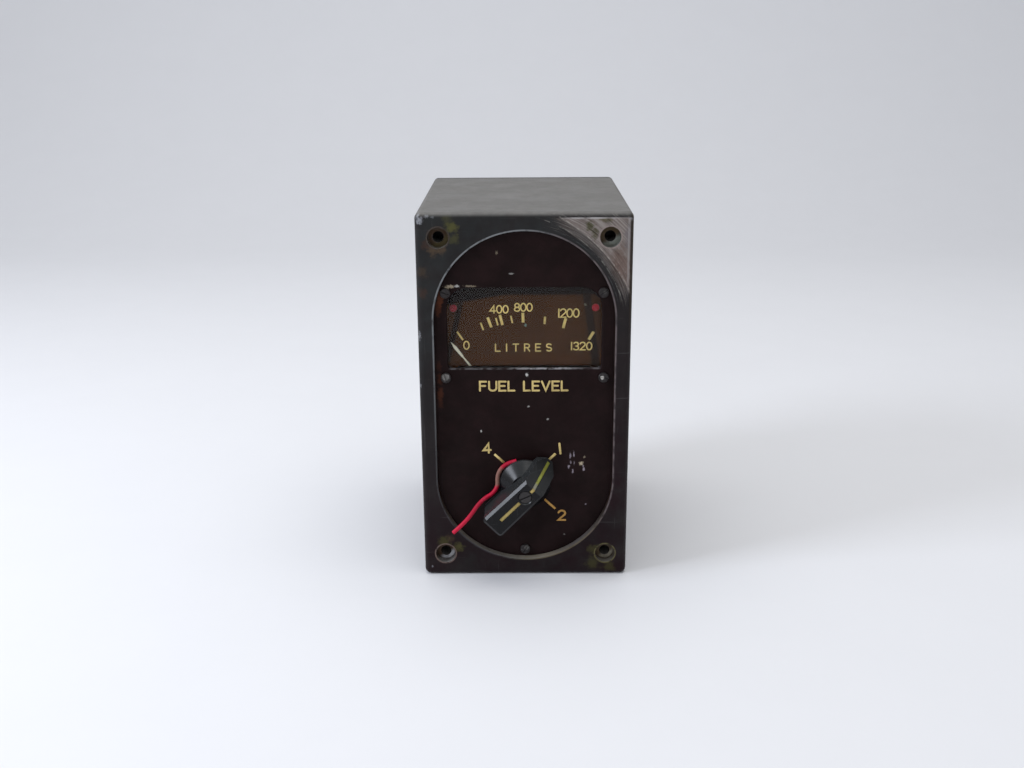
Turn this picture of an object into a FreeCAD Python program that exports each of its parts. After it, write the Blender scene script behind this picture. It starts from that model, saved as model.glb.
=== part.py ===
import FreeCAD, Part
import math
import os

from FreeCAD import Vector

# Panel instrument that shows fuel quantity, with a tank selector on its face.
# Millimetres. X to the right seen from the front, +Y into the case, +Z up.
# The origin is the middle of the four mounting holes, on the bezel's front face.

# Case
CASE_WIDTH = 82.55
CASE_HEIGHT = 149.2
CASE_DEPTH = 102.7
CASE_WALL = 2.8
CASE_EDGE_RADIUS = 2.3
BEZEL_THICKNESS = 8.4
MOUNT_INSET_X = 8.725
MOUNT_INSET_Z = 9.5
MOUNT_HOLE_RADIUS = 2.15
MOUNT_HOLE_DEPTH = 16.0
MOUNT_COUNTERBORE_RADIUS = 4.0
MOUNT_COUNTERBORE_DEPTH = 3.0
MOUNT_BOSS_WALL = 3.8
MOUNT_BOSS_FLOOR = 2.0

# Oblong front plate in its recess
RIM_SIDE_MARGIN = 6.275
RIM_END_MARGIN = 7.1
RIM_EDGE_RADIUS = 0.45
PLATE_RECESS = 2.75
PLATE_THICKNESS = 3.0
PLATE_GAP = 0.15
GASKET_THICKNESS = 0.5
LEDGE_WIDTH = 1.6
LUG_RADIUS = 3.2
UPPER_SCREW_INSET = 2.61
UPPER_SCREW_ANGLE = 35.66
SIDE_SCREW_INSET = 4.1
SIDE_SCREW_DROP = 3.7
FOOT_SCREW_INSET = 3.3
PLATE_SCREW_ANGLES = [20.0, -35.0, 70.0, 10.0, -60.0]
PLATE_SCREW_RADIUS = 1.1
PLATE_SCREW_HEAD_RADIUS = 2.0
PLATE_SCREW_HEAD_HEIGHT = 1.2
SCREW_HOLE_CLEARANCE = 0.15

# Window and glass
WINDOW_SIDE_MARGIN = 5.0
WINDOW_ABOVE_ARC = 12.8
WINDOW_BOTTOM = 13.1
WINDOW_UPPER_RADIUS = 8.0
WINDOW_LOWER_RADIUS = 1.5
WINDOW_BEVEL = 0.35
GLASS_MARGIN = 0.8
GLASS_THICKNESS = 1.65
SEAL_THICKNESS = 0.25
GLASS_EDGE_GAP = 0.08
CLAMP_THICKNESS = 1.0
CLAMP_HEIGHT = 4.8
LOWER_CLAMP_INSET = 3.2
UPPER_CLAMP_INSET = 8.0
CLAMP_SCREW_INSET = 5.0
CLAMP_SCREW_RADIUS = 0.8
CLAMP_SCREW_HEAD_RADIUS = 1.6
CLAMP_SCREW_HEAD_HEIGHT = 0.8
CLAMP_SCREW_DEPTH = 2.0
CLAMP_SLOT_ANGLE = 30.0

# Dial and pointer
PIVOT_Z = -15.2
POINTER_GAP = 0.5
POINTER_THICKNESS = 0.4
POINTER_LENGTH = 47.5
POINTER_ROOT_HALF_WIDTH = 1.2
POINTER_NECK_HALF_WIDTH = 0.28
POINTER_NECK_FROM_TIP = 7.9
POINTER_HEEL_HALF_WIDTH = 0.45
POINTER_HEEL_FROM_TIP = 7.2
POINTER_BELLY_HALF_WIDTH = 0.6
POINTER_BELLY_FROM_TIP = 2.8
POINTER_REST_ANGLE = 37.6
POINTER_HUB_RADIUS = 2.0
POINTER_HUB_REAR = 1.2
POINTER_TAIL = 6.2
WEIGHT_RADIUS = 2.3
WEIGHT_LENGTH = 1.75
DIAL_GAP = 0.45
DIAL_THICKNESS = 1.0
DIAL_SIDE_GAP = 0.4
DIAL_ABOVE_WINDOW = 4.2
DIAL_BELOW_PIVOT = 6.3
DIAL_CORNER_RADIUS = 8.0
DIAL_HUB_HOLE = 3.4
DIAL_SCREW_INSET = 2.2
DIAL_SCREW_DROP = 9.2
DIAL_SCREW_LOW_Z = -14.0
DIAL_SCREW_HEAD_RADIUS = 1.45
DIAL_SCREW_HEAD_HEIGHT = 0.8
DIAL_SCREW_RADIUS = 0.8
DIAL_SCREW_DEPTH = 2.0
DIAL_SLOT_ANGLE = 45.0
DIAL_POST_RADIUS = 2.2
STOP_PIN_RADIUS = 0.5
STOP_PIN_REACH = 16.0
STOP_PIN_GAP = 0.15
STOP_PIN_PROUD = 0.6

# Chassis inside the case
CHASSIS_FRONT = 14.0
CHASSIS_THICKNESS = 2.0
CHASSIS_SIDE_GAP = 1.975
CHASSIS_END_GAP = 2.15
CHASSIS_CORNER = 3.0
CHASSIS_PAD_INSET = (3.5, 5.0)
CHASSIS_PAD_RADIUS = 4.0
CHASSIS_SLOT_ANGLE = 15.0
CHASSIS_SCREW_RADIUS = 1.42
CHASSIS_SCREW_LENGTH = 6.0
PAN_HEAD_RADIUS = 2.7
PAN_HEAD_HEIGHT = 1.7
PILLAR_INSET = (5.5, 15.0)
PILLAR_RADIUS = 3.0
PILLAR_LENGTH = 50.0
REAR_PLATE_THICKNESS = 2.0
REAR_PLATE_SIDE_STEP = 2.0
REAR_PLATE_END_STEP = 6.0
REAR_WINDOW_MARGIN = (7.0, 16.0)
REAR_WINDOW_CORNER = 4.0

# Moving magnet ratiometer
STAFF_RADIUS = 0.5
STAFF_BODY_RADIUS = 1.0
STAFF_PIVOT_RADIUS = 0.4
STAFF_PIVOT_LENGTH = 2.0
STAFF_PIVOT_END_GAP = 0.2
STAFF_FRONT_STEP = 0.5
STAFF_REAR_STEP = 0.3
BEARING_CLEARANCE = 0.04
FRONT_BEARING_RADIUS = 2.5
FRONT_BEARING_LENGTH = 3.6
REAR_BEARING_RADIUS = 2.0
REAR_BEARING_LENGTH = 5.0
MAGNET_RADIUS = 5.5
MAGNET_LENGTH = 6.0
CAN_RADIUS = 7.4
CAN_WALL = 1.1
CAN_OVERHANG = 1.5
YOKE_SPACE = 5.0
YOKE_LENGTH = 8.0
YOKE_HALF_WIDTH = 28.5
YOKE_LIMB = 4.5
YOKE_TOP = 12.0
YOKE_HEAD = 6.0
YOKE_FOOT = 2.0
CORE_RADIUS = 3.0
CORE_GAP = 0.1
BOBBIN_RADIUS = 8.2
BOBBIN_FLANGE = 1.0
BOBBIN_TUBE = 0.8
BOBBIN_END_GAP = 0.3
BOBBIN_START_GAP = 0.9
WINDING_MARGIN = 0.7
BRIDGE_THICKNESS = 2.0
BRIDGE_SPACE = 9.0
MOVEMENT_PILLAR_X = 20.0
MOVEMENT_PILLAR_RADIUS = 3.2
MOVEMENT_STUD_RADIUS = 1.8
BRIDGE_NUT_RADIUS = 3.2
BRIDGE_NUT_THICKNESS = 2.0
RETURN_MAGNET_RADIUS = 2.0
RETURN_MAGNET_LENGTH = 12.0
RETURN_MAGNET_OFFSET = 11.4

# Tank selector
SELECTOR_Z = -34.5
SHAFT_RADIUS = 3.175
SHAFT_CLEARANCE = 0.04
BUSHING_RADIUS = 4.76
BUSHING_HOLE_CLEARANCE = 0.09
BUSHING_PROUD = 0.65
SHOULDER_THICKNESS = 1.5
SHOULDER_MARGIN = 1.8
NUT_ACROSS_FLATS = 12.7
NUT_THICKNESS = 2.3
WASHER_RADIUS = 7.0
WASHER_THICKNESS = 0.7
FRAME_RADIUS = 10.0
FRAME_THICKNESS = 3.5
FRAME_BORE_CLEARANCE = 0.4
SWITCH_CUTOUT_GAP = (1.0, 1.5)
TIE_ROD_X = 17.5
TIE_ROD_RADIUS = 1.2
TIE_EAR_RADIUS = 3.2
TIE_ROD_PROUD = 1.0
SELECTOR_TRAVEL = 270.0
TANKS = 4
DETENT_RADIUS = 7.4
DETENT_THICKNESS = 2.4
DETENT_GAP = 0.6
NOTCH_RADIUS = 1.3
NOTCH_DEPTH = 0.7
BALL_RADIUS = 1.05
BALL_GAP = 0.12
BALL_ANGLE = 0.0
SPRING_THICKNESS = 0.4
SPRING_HALF_ANGLE = 84.0
SPRING_SIDE_GAP = 0.15
SPRING_FOOT_GAP = 0.4
SPRING_FOOT_THICKNESS = 0.8
SPRING_FOOT_LOW = 0.6
SPRING_FOOT_HIGH = 1.8
STOP_TAB_RADIUS = 10.2
STOP_TAB_THICKNESS = 1.0
FRAME_STOP_RADIUS = 0.9
FRAME_STOP_REACH = 9.3
FRAME_STOP_ANGLE = 180.0
FRAME_STOP_GAP = 0.1
FRAME_STOP_SEAT = 1.0
WAFER_RADIUS = 14.5
WAFER_THICKNESS = 1.6
WAFER_SPACE = 6.0
WAFER_PITCH = 10.0
WAFER_COUNT = 2
ROTOR_RADIUS = 7.5
ROTOR_CLEARANCE = 0.1
CONTACTS_PER_WAFER = 12
CONTACT_WIDTH = 1.6
CONTACT_THICKNESS = 0.4
CONTACT_REACH = 17.2
CONTACT_ROTOR_GAP = 1.0
CONTACT_EAR_ANGLE = 17.5
SPACER_RADIUS = 2.2
TIE_NUT_RADIUS = 2.4
TIE_NUT_THICKNESS = 2.0

# Bar knob
KNOB_ANGLE = 45.0
KNOB_BASE = 0.35
KNOB_TOP = -14.6
KNOB_RIM_TOP = -0.6
KNOB_HUB_TOP = -5.3
KNOB_SKIRT_RADIUS = 10.2
KNOB_HUB_RADIUS = 5.5
KNOB_TAIL = 19.0
KNOB_BEND = 4.6
KNOB_NOSE = 14.2
KNOB_SHOULDER = 11.4
KNOB_TAIL_WIDTH = 10.2
KNOB_NOSE_WIDTH = 9.3
KNOB_TIP_WIDTH = 3.0
KNOB_TAIL_CORNER = 1.5
KNOB_EDGE = 1.0
KNOB_HUB_EDGE = 0.3
KNOB_RECESS_RADIUS = 7.8
KNOB_RECESS_DEPTH = 2.1
KNOB_BORE_FLOOR = 3.4
KNOB_SCREW_RADIUS = 2.6
KNOB_SCREW_SINK = 0.35
KNOB_SCREW_FLARE = 0.35
KNOB_SCREW_HEAD = 1.5
KNOB_SCREW_SHANK = 1.3
KNOB_SCREW_DEPTH = 5.0
KNOB_SLOT_ANGLE = 20.0
INDEX_WIDTH = 1.5
INDEX_DEPTH = 0.3
INDEX_START = 3.0
INDEX_TAIL_END = 13.7
INDEX_PAST_BEND = 1.0
INDEX_NOSE_STOP = 1.2

# Red lead hooked round the knob's skirt
LEAD_RADIUS = 0.85
LEAD_BEND_SHARE = 0.45
LEAD_ROUTE = [
    (-3.4, 1.5, -25.2),
    (-6.9, 1.3, -26.0),
    (-9.9, 0.9, -28.4),
    (-11.2, 0.3, -31.6),
    (-10.9, -0.6, -35.0),
    (-12.8, -1.6, -37.9),
    (-16.2, -2.3, -39.7),
    (-18.9, -2.8, -42.3),
    (-21.1, -3.1, -45.6),
    (-23.5, -3.2, -48.8),
    (-26.4, -3.3, -51.8),
    (-29.1, -3.4, -54.3),
]

# Component board behind the chassis
BOARD_SPACE = 6.0
BOARD_THICKNESS = 1.6
BOARD_INSET = (6.5, 11.0)
BOARD_CORNER = 2.0
BOARD_SPACER_INSET = (5.0, 4.0)
RIVET_RADIUS = 1.0
RIVET_HEAD_RADIUS = 1.7
RIVET_HEAD_HEIGHT = 0.7
RESISTOR_RADIUS = 3.4
RESISTOR_LENGTH = 20.0
RESISTOR_WAIST = 0.5
RESISTOR_CAP = 3.0
RESISTOR_ROW_INSET = 22.0
RESISTOR_ROW_PITCH = 11.0
RESISTOR_X = 14.0
TRIMMER_RADIUS = 5.5
TRIMMER_HEIGHT = 7.0
TRIMMER_INSET = 12.0
TRIMMER_PITCH = 13.0
TRIMMER_SPINDLE_RADIUS = 1.6
TRIMMER_SPINDLE_LENGTH = 2.0
TRIMMER_SLOT_DEPTH = 0.9
TRIMMER_SLOT_WIDTH = 0.5

# Rear cover and connector
REAR_GASKET_THICKNESS = 0.8
REAR_GASKET_INSET = 0.4
COVER_THICKNESS = 2.5
COVER_RIM_RADIUS = 1.0
COVER_SCREW_INSET = 5.2
COVER_SCREW_RADIUS = 1.42
COVER_SCREW_LENGTH = 9.0
COVER_SCREW_TURN = 25.0
COVER_BOSS_RADIUS = 3.8
COVER_BOSS_LENGTH = 12.0
CONNECTOR_Z = 0.0
CONNECTOR_FLANGE = 34.9
CONNECTOR_FLANGE_THICKNESS = 3.2
CONNECTOR_FLANGE_CORNER = 3.0
CONNECTOR_HOLE_SPACING = 26.97
CONNECTOR_RADIUS = 14.29
CONNECTOR_BORE = 12.6
CONNECTOR_LENGTH = 19.0
CONNECTOR_BARREL_RADIUS = 13.4
CONNECTOR_BARREL_STEP = 1.0
CONNECTOR_INSERT_DEPTH = 12.6
CONNECTOR_REAR = 5.0
CONNECTOR_HOLE_CLEARANCE = 0.4
CONNECTOR_SCREW_HEAD_RADIUS = 2.5
CONNECTOR_SCREW_HEAD_HEIGHT = 1.6
CONNECTOR_SCREW_TURN = 40.0
KEYWAY_WIDTH = 3.0
KEYWAY_DEPTH = 0.8
PIN_RADIUS = 0.8
PIN_LENGTH = 7.0
PIN_REAR = 3.0
PIN_TIP_ROUND = 0.48
PIN_RING_RADIUS = 8.2
PIN_RING_COUNT = 8
PIN_CENTRE_OFFSET = 2.7
LOOM_RADIUS = 2.2
LOOM_BEND = 6.0
LOOM_RISE = 32.0

# Slotted screw heads, as shares of the head's own height and radius
HEAD_EDGE_SHARE = 0.3
SLOT_DEPTH_SHARE = 0.45
SLOT_WIDTH_SHARE = 0.28

# How far a cutting shape runs past what it cuts
OVERRUN = 1.0
SLICE_OVERRUN = 1.2

# Outlines and places on the face that follow from the sizes above. Each upper plate screw sits in the
# corner between the window and the rim: on a line from the centre of the window's corner arc, at its own
# distance inside the rim.
CORNERS = [(-1, -1), (1, -1), (-1, 1), (1, 1)]
FULL_TURN = 360.0
MOUNT_X = CASE_WIDTH / 2 - MOUNT_INSET_X
MOUNT_Z = CASE_HEIGHT / 2 - MOUNT_INSET_Z
MOUNT_BOSS_RADIUS = MOUNT_HOLE_RADIUS + MOUNT_BOSS_WALL
RIM_RADIUS = CASE_WIDTH / 2 - RIM_SIDE_MARGIN
RIM_HEIGHT = CASE_HEIGHT - 2 * RIM_END_MARGIN
RIM_ARC_Z = RIM_HEIGHT / 2 - RIM_RADIUS
WINDOW_HALF_WIDTH = RIM_RADIUS - WINDOW_SIDE_MARGIN
WINDOW_TOP = RIM_ARC_Z + WINDOW_ABOVE_ARC
CORNER_X = WINDOW_HALF_WIDTH - WINDOW_UPPER_RADIUS
CORNER_RISE = WINDOW_ABOVE_ARC - WINDOW_UPPER_RADIUS
SCREW_WAY_X = math.cos(math.radians(UPPER_SCREW_ANGLE))
SCREW_WAY_Z = math.sin(math.radians(UPPER_SCREW_ANGLE))
CORNER_ALONG = CORNER_X * SCREW_WAY_X + CORNER_RISE * SCREW_WAY_Z
UPPER_SCREW_CIRCLE = (RIM_RADIUS - UPPER_SCREW_INSET) ** 2 - CORNER_X ** 2 - CORNER_RISE ** 2
UPPER_SCREW_REACH = math.sqrt(CORNER_ALONG ** 2 + UPPER_SCREW_CIRCLE) - CORNER_ALONG
UPPER_SCREW_X = CORNER_X + UPPER_SCREW_REACH * SCREW_WAY_X
UPPER_SCREW_Z = RIM_ARC_Z + CORNER_RISE + UPPER_SCREW_REACH * SCREW_WAY_Z
SIDE_SCREW_X = RIM_RADIUS - SIDE_SCREW_INSET
SIDE_SCREW_Z = WINDOW_BOTTOM - SIDE_SCREW_DROP
PLATE_SCREWS = [
    (-UPPER_SCREW_X, UPPER_SCREW_Z),
    (UPPER_SCREW_X, UPPER_SCREW_Z),
    (-SIDE_SCREW_X, SIDE_SCREW_Z),
    (SIDE_SCREW_X, SIDE_SCREW_Z),
    (0.0, FOOT_SCREW_INSET - RIM_HEIGHT / 2),
]
LOWER_CLAMP_HALF_WIDTH = WINDOW_HALF_WIDTH - LOWER_CLAMP_INSET
UPPER_CLAMP_HALF_WIDTH = WINDOW_HALF_WIDTH - UPPER_CLAMP_INSET
DIAL_HALF_WIDTH = RIM_RADIUS - LEDGE_WIDTH - DIAL_SIDE_GAP
DIAL_TOP = WINDOW_TOP + DIAL_ABOVE_WINDOW
DIAL_BOTTOM = PIVOT_Z - DIAL_BELOW_PIVOT
DIAL_SCREW_X = WINDOW_HALF_WIDTH - DIAL_SCREW_INSET
DIAL_SCREW_TOP_Z = WINDOW_TOP - DIAL_SCREW_DROP
CHASSIS_HALF_WIDTH = CASE_WIDTH / 2 - CASE_WALL - CHASSIS_SIDE_GAP
CHASSIS_HALF_HEIGHT = MOUNT_Z - MOUNT_BOSS_RADIUS - CHASSIS_END_GAP
CHASSIS_PAD = (CHASSIS_HALF_WIDTH - CHASSIS_PAD_INSET[0], CHASSIS_HALF_HEIGHT - CHASSIS_PAD_INSET[1])
PILLAR = (CHASSIS_HALF_WIDTH - PILLAR_INSET[0], CHASSIS_HALF_HEIGHT - PILLAR_INSET[1])
BOARD_HALF_WIDTH = CHASSIS_HALF_WIDTH - BOARD_INSET[0]
BOARD_HALF_HEIGHT = CHASSIS_HALF_HEIGHT - BOARD_INSET[1]
BOARD_SPACER = (BOARD_HALF_WIDTH - BOARD_SPACER_INSET[0], BOARD_HALF_HEIGHT - BOARD_SPACER_INSET[1])
OUTER_ROW = BOARD_HALF_HEIGHT - RESISTOR_ROW_INSET
INNER_ROW = OUTER_ROW - RESISTOR_ROW_PITCH
RESISTOR_ROWS = [-OUTER_ROW, -INNER_ROW, INNER_ROW, OUTER_ROW]
TRIMMER_Z = TRIMMER_INSET - BOARD_HALF_HEIGHT

# Places along the depth that follow from the sizes above
PLATE_BACK = PLATE_RECESS + PLATE_THICKNESS
LEDGE_FRONT = PLATE_BACK + GASKET_THICKNESS
CLAMP_BACK = PLATE_BACK + CLAMP_THICKNESS
POINTER_FRONT = CLAMP_BACK + CLAMP_SCREW_HEAD_HEIGHT + POINTER_GAP
POINTER_BACK = POINTER_FRONT + POINTER_THICKNESS
DIAL_FRONT = POINTER_BACK + DIAL_GAP
DIAL_BACK = DIAL_FRONT + DIAL_THICKNESS
CHASSIS_BACK = CHASSIS_FRONT + CHASSIS_THICKNESS
YOKE_FRONT = CHASSIS_BACK + YOKE_SPACE
YOKE_BACK = YOKE_FRONT + YOKE_LENGTH
BRIDGE_FRONT = YOKE_BACK + BRIDGE_SPACE
BRIDGE_BACK = BRIDGE_FRONT + BRIDGE_THICKNESS
REAR_PLATE_FRONT = CHASSIS_BACK + PILLAR_LENGTH
REAR_PLATE_BACK = REAR_PLATE_FRONT + REAR_PLATE_THICKNESS
BOARD_FRONT = REAR_PLATE_BACK + BOARD_SPACE
BOARD_BACK = BOARD_FRONT + BOARD_THICKNESS
COVER_FRONT = CASE_DEPTH + REAR_GASKET_THICKNESS
COVER_BACK = COVER_FRONT + COVER_THICKNESS
FRAME_BACK = PLATE_BACK + FRAME_THICKNESS
WAFERS = [BRIDGE_BACK + WAFER_SPACE + WAFER_PITCH * k for k in range(WAFER_COUNT)]
TIE_END = WAFERS[-1] + WAFER_THICKNESS + TIE_NUT_THICKNESS + TIE_ROD_PROUD

nodes = {}


def rod(x, z, y0, y1, radius):
    """A cylinder along Y."""
    return Part.makeCylinder(radius, y1 - y0, Vector(x, y0, z), Vector(0, 1, 0))


def ring(x, z, y0, y1, outer, inner):
    """A tube along Y."""
    return rod(x, z, y0, y1, outer).cut(rod(x, z, y0, y1, inner))


def block(x0, x1, y0, y1, z0, z1):
    """A box between two corners."""
    return Part.makeBox(x1 - x0, y1 - y0, z1 - z0, Vector(x0, y0, z0))


def join(shapes):
    """One shape from several that touch or overlap."""
    return shapes[0].multiFuse(shapes[1:]).removeSplitter()


def group(shapes):
    """Several separate solids in one node."""
    return Part.makeCompound(shapes)


def oblong(radius, height, y0, y1):
    """An upright prism with half-round ends, centred on the Y axis."""
    reach = height / 2 - radius
    left_low, left_high = Vector(-radius, y0, -reach), Vector(-radius, y0, reach)
    right_low, right_high = Vector(radius, y0, -reach), Vector(radius, y0, reach)
    top, bottom = Vector(0, y0, reach + radius), Vector(0, y0, -reach - radius)
    edges = [
        Part.LineSegment(left_low, left_high).toShape(),
        Part.Arc(left_high, top, right_high).toShape(),
        Part.LineSegment(right_high, right_low).toShape(),
        Part.Arc(right_low, bottom, left_low).toShape(),
    ]
    return Part.Face(Part.Wire(edges)).extrude(Vector(0, y1 - y0, 0))


def panel(half_width, z0, z1, y0, y1, low_radius, high_radius):
    """A plate with rounded corners, centred on X = 0."""
    solid = block(-half_width, half_width, y0, y1, z0, z1)
    low, high = [], []
    for edge in solid.Edges:
        ends = [v.Point for v in edge.Vertexes]
        if abs(ends[0].y - ends[1].y) > (y1 - y0) / 2:
            (low if ends[0].z < (z0 + z1) / 2 else high).append(edge)
    if low_radius == high_radius:
        return solid.makeFillet(low_radius, low + high)
    solid = solid.makeFillet(high_radius, high)
    low = [e for e in solid.Edges if is_along_y(e) and e.BoundBox.ZMax < (z0 + z1) / 2 and is_straight(e)]
    low = [e for e in low if abs(abs(e.BoundBox.XMax) - half_width) < 1e-6]
    return solid.makeFillet(low_radius, low)


def is_straight(edge):
    return isinstance(edge.Curve, (Part.Line, Part.LineSegment))


def is_along_y(edge):
    box = edge.BoundBox
    return box.YLength > 1e-6 and box.XLength < 1e-6 and box.ZLength < 1e-6


def slotted_screw(x, z, seat, head_radius, head_height, shank_radius, length, slot_angle, facing=-1):
    """A cheese-head screw. facing -1 puts the head to the front of its seat, +1 to the rear."""
    head_end = seat + facing * head_height
    shank_end = seat - facing * length
    head = rod(x, z, min(seat, head_end), max(seat, head_end), head_radius)
    rim = [e for e in head.Edges if abs(e.BoundBox.YMin - head_end) < 1e-6 and e.BoundBox.YLength < 1e-6]
    head = head.makeFillet(head_height * HEAD_EDGE_SHARE, rim)
    shank = rod(x, z, min(seat, shank_end), max(seat, shank_end), shank_radius)
    slot_front, slot_back = sorted([head_end, head_end - facing * head_height * SLOT_DEPTH_SHARE])
    half_length = head_radius + OVERRUN
    half_width = head_radius * SLOT_WIDTH_SHARE / 2
    slot = block(-half_length, half_length, slot_front, slot_back, -half_width, half_width)
    slot.rotate(Vector(0, 0, 0), Vector(0, 1, 0), slot_angle)
    slot.translate(Vector(x, 0, z))
    return join([head.cut(slot), shank])


def mount_points():
    return [(sx * MOUNT_X, sz * MOUNT_Z) for sx, sz in CORNERS]


def cover_screw_points():
    x = CASE_WIDTH / 2 - COVER_SCREW_INSET
    z = CASE_HEIGHT / 2 - COVER_SCREW_INSET
    return [(sx * x, sz * z) for sx, sz in CORNERS] + [(-x, 0.0), (x, 0.0)]


def chassis_points():
    return [(sx * CHASSIS_PAD[0], sz * CHASSIS_PAD[1]) for sx, sz in CORNERS]


def pillar_points():
    return [(sx * PILLAR[0], sz * PILLAR[1]) for sx, sz in CORNERS]


def case_body():
    """The casting's outside: a plain box with every long and front edge rounded."""
    half_width, half_height = CASE_WIDTH / 2, CASE_HEIGHT / 2
    solid = block(-half_width, half_width, 0, CASE_DEPTH, -half_height, half_height)
    edges = [e for e in solid.Edges if e.BoundBox.YMin < CASE_DEPTH / 2]
    return solid.makeFillet(CASE_EDGE_RADIUS, edges)


def flat_at(edge, y):
    """True for an edge that lies in the plane at that depth."""
    return max(abs(edge.BoundBox.YMin - y), abs(edge.BoundBox.YMax - y)) < 1e-5


def within(edge, half_width, half_height):
    """True for an edge inside a rectangle round the face's middle."""
    box = edge.BoundBox
    return (max(-box.XMin, box.XMax) < half_width + 1e-3 and max(-box.ZMin, box.ZMax) < half_height + 1e-3)


def case_housing():
    inner_width = CASE_WIDTH / 2 - CASE_WALL
    inner_height = CASE_HEIGHT / 2 - CASE_WALL
    cavity = panel(inner_width, -inner_height, inner_height, BEZEL_THICKNESS, CASE_DEPTH,
                   CASE_WALL, CASE_WALL)
    shell = case_body().cut(cavity)
    shell = shell.cut(oblong(RIM_RADIUS, RIM_HEIGHT, 0, LEDGE_FRONT))
    ledge_radius = RIM_RADIUS - LEDGE_WIDTH
    ledge_height = RIM_HEIGHT - 2 * LEDGE_WIDTH
    shell = shell.cut(oblong(ledge_radius, ledge_height, LEDGE_FRONT, BEZEL_THICKNESS))

    lugs = group([rod(x, z, LEDGE_FRONT, BEZEL_THICKNESS, LUG_RADIUS) for x, z in PLATE_SCREWS])
    lugs = lugs.common(oblong(RIM_RADIUS, RIM_HEIGHT, LEDGE_FRONT, BEZEL_THICKNESS))
    boss_end = MOUNT_HOLE_DEPTH + MOUNT_BOSS_FLOOR
    corner = [rod(x, z, BEZEL_THICKNESS, boss_end, MOUNT_BOSS_RADIUS) for x, z in mount_points()]
    pads = [rod(x, z, BEZEL_THICKNESS, CHASSIS_FRONT, CHASSIS_PAD_RADIUS) for x, z in chassis_points()]
    rear_start = CASE_DEPTH - COVER_BOSS_LENGTH
    rear = [rod(x, z, rear_start, CASE_DEPTH, COVER_BOSS_RADIUS) for x, z in cover_screw_points()]
    bosses = group(corner + pads + rear).common(case_body())
    shell = shell.multiFuse(lugs.Solids + bosses.Solids).removeSplitter()

    rim = [e for e in shell.Edges if flat_at(e, 0.0) and within(e, RIM_RADIUS, RIM_HEIGHT / 2)]
    shell = shell.makeFillet(RIM_EDGE_RADIUS, rim)
    holes = [rod(x, z, 0, MOUNT_HOLE_DEPTH, MOUNT_HOLE_RADIUS) for x, z in mount_points()]
    holes += [rod(x, z, 0, MOUNT_COUNTERBORE_DEPTH, MOUNT_COUNTERBORE_RADIUS) for x, z in mount_points()]
    holes += [rod(x, z, LEDGE_FRONT, BEZEL_THICKNESS, PLATE_SCREW_RADIUS) for x, z in PLATE_SCREWS]
    pad_hole = CHASSIS_FRONT - CHASSIS_SCREW_LENGTH + CHASSIS_THICKNESS
    holes += [rod(x, z, pad_hole, CHASSIS_FRONT, CHASSIS_SCREW_RADIUS) for x, z in chassis_points()]
    rear_hole = COVER_BACK - COVER_SCREW_LENGTH
    holes += [rod(x, z, rear_hole, CASE_DEPTH, COVER_SCREW_RADIUS) for x, z in cover_screw_points()]
    return shell.cut(holes)


def front_plate():
    plate = oblong(RIM_RADIUS - PLATE_GAP, RIM_HEIGHT - 2 * PLATE_GAP, PLATE_RECESS, PLATE_BACK)
    window = panel(WINDOW_HALF_WIDTH, WINDOW_BOTTOM, WINDOW_TOP, PLATE_RECESS, PLATE_BACK,
                   WINDOW_LOWER_RADIUS, WINDOW_UPPER_RADIUS)
    seat_front = PLATE_BACK - GLASS_THICKNESS - SEAL_THICKNESS
    plate = plate.cut(window)
    edge = [e for e in plate.Edges if flat_at(e, PLATE_RECESS) and within(e, WINDOW_HALF_WIDTH, WINDOW_TOP)]
    plate = plate.makeChamfer(WINDOW_BEVEL, edge)
    cuts = [glass_outline(seat_front, PLATE_BACK, 0.0)]
    cuts += [rod(x, z, PLATE_RECESS, PLATE_BACK, PLATE_SCREW_RADIUS + SCREW_HOLE_CLEARANCE)
             for x, z in PLATE_SCREWS]
    cuts += [rod(x, z, PLATE_BACK - CLAMP_SCREW_DEPTH, PLATE_BACK, CLAMP_SCREW_RADIUS)
             for x, z in clamp_screw_points()]
    cuts.append(rod(0, SELECTOR_Z, PLATE_RECESS, PLATE_BACK, BUSHING_RADIUS + BUSHING_HOLE_CLEARANCE))
    return plate.cut(cuts)


def glass_outline(y0, y1, gap):
    """The outline of the glass's seat in the plate, or of the glass where a gap is given."""
    grow = GLASS_MARGIN - gap
    return panel(WINDOW_HALF_WIDTH + grow, WINDOW_BOTTOM - grow, WINDOW_TOP + grow, y0, y1,
                 WINDOW_LOWER_RADIUS + grow, WINDOW_UPPER_RADIUS + grow)


def glass_seal():
    front = PLATE_BACK - GLASS_THICKNESS - SEAL_THICKNESS
    outside = glass_outline(front, front + SEAL_THICKNESS, GLASS_EDGE_GAP)
    opening = panel(WINDOW_HALF_WIDTH, WINDOW_BOTTOM, WINDOW_TOP, front, front + SEAL_THICKNESS,
                    WINDOW_LOWER_RADIUS, WINDOW_UPPER_RADIUS)
    return outside.cut(opening)


def clamp_screw_points():
    low_z = WINDOW_BOTTOM - CLAMP_HEIGHT / 2 - GLASS_MARGIN / 2
    high_z = WINDOW_TOP + CLAMP_HEIGHT / 2 + GLASS_MARGIN / 2
    low_x = LOWER_CLAMP_HALF_WIDTH - CLAMP_SCREW_INSET
    high_x = UPPER_CLAMP_HALF_WIDTH - CLAMP_SCREW_INSET
    return [(-low_x, low_z), (low_x, low_z), (-high_x, high_z), (high_x, high_z)]


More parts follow.
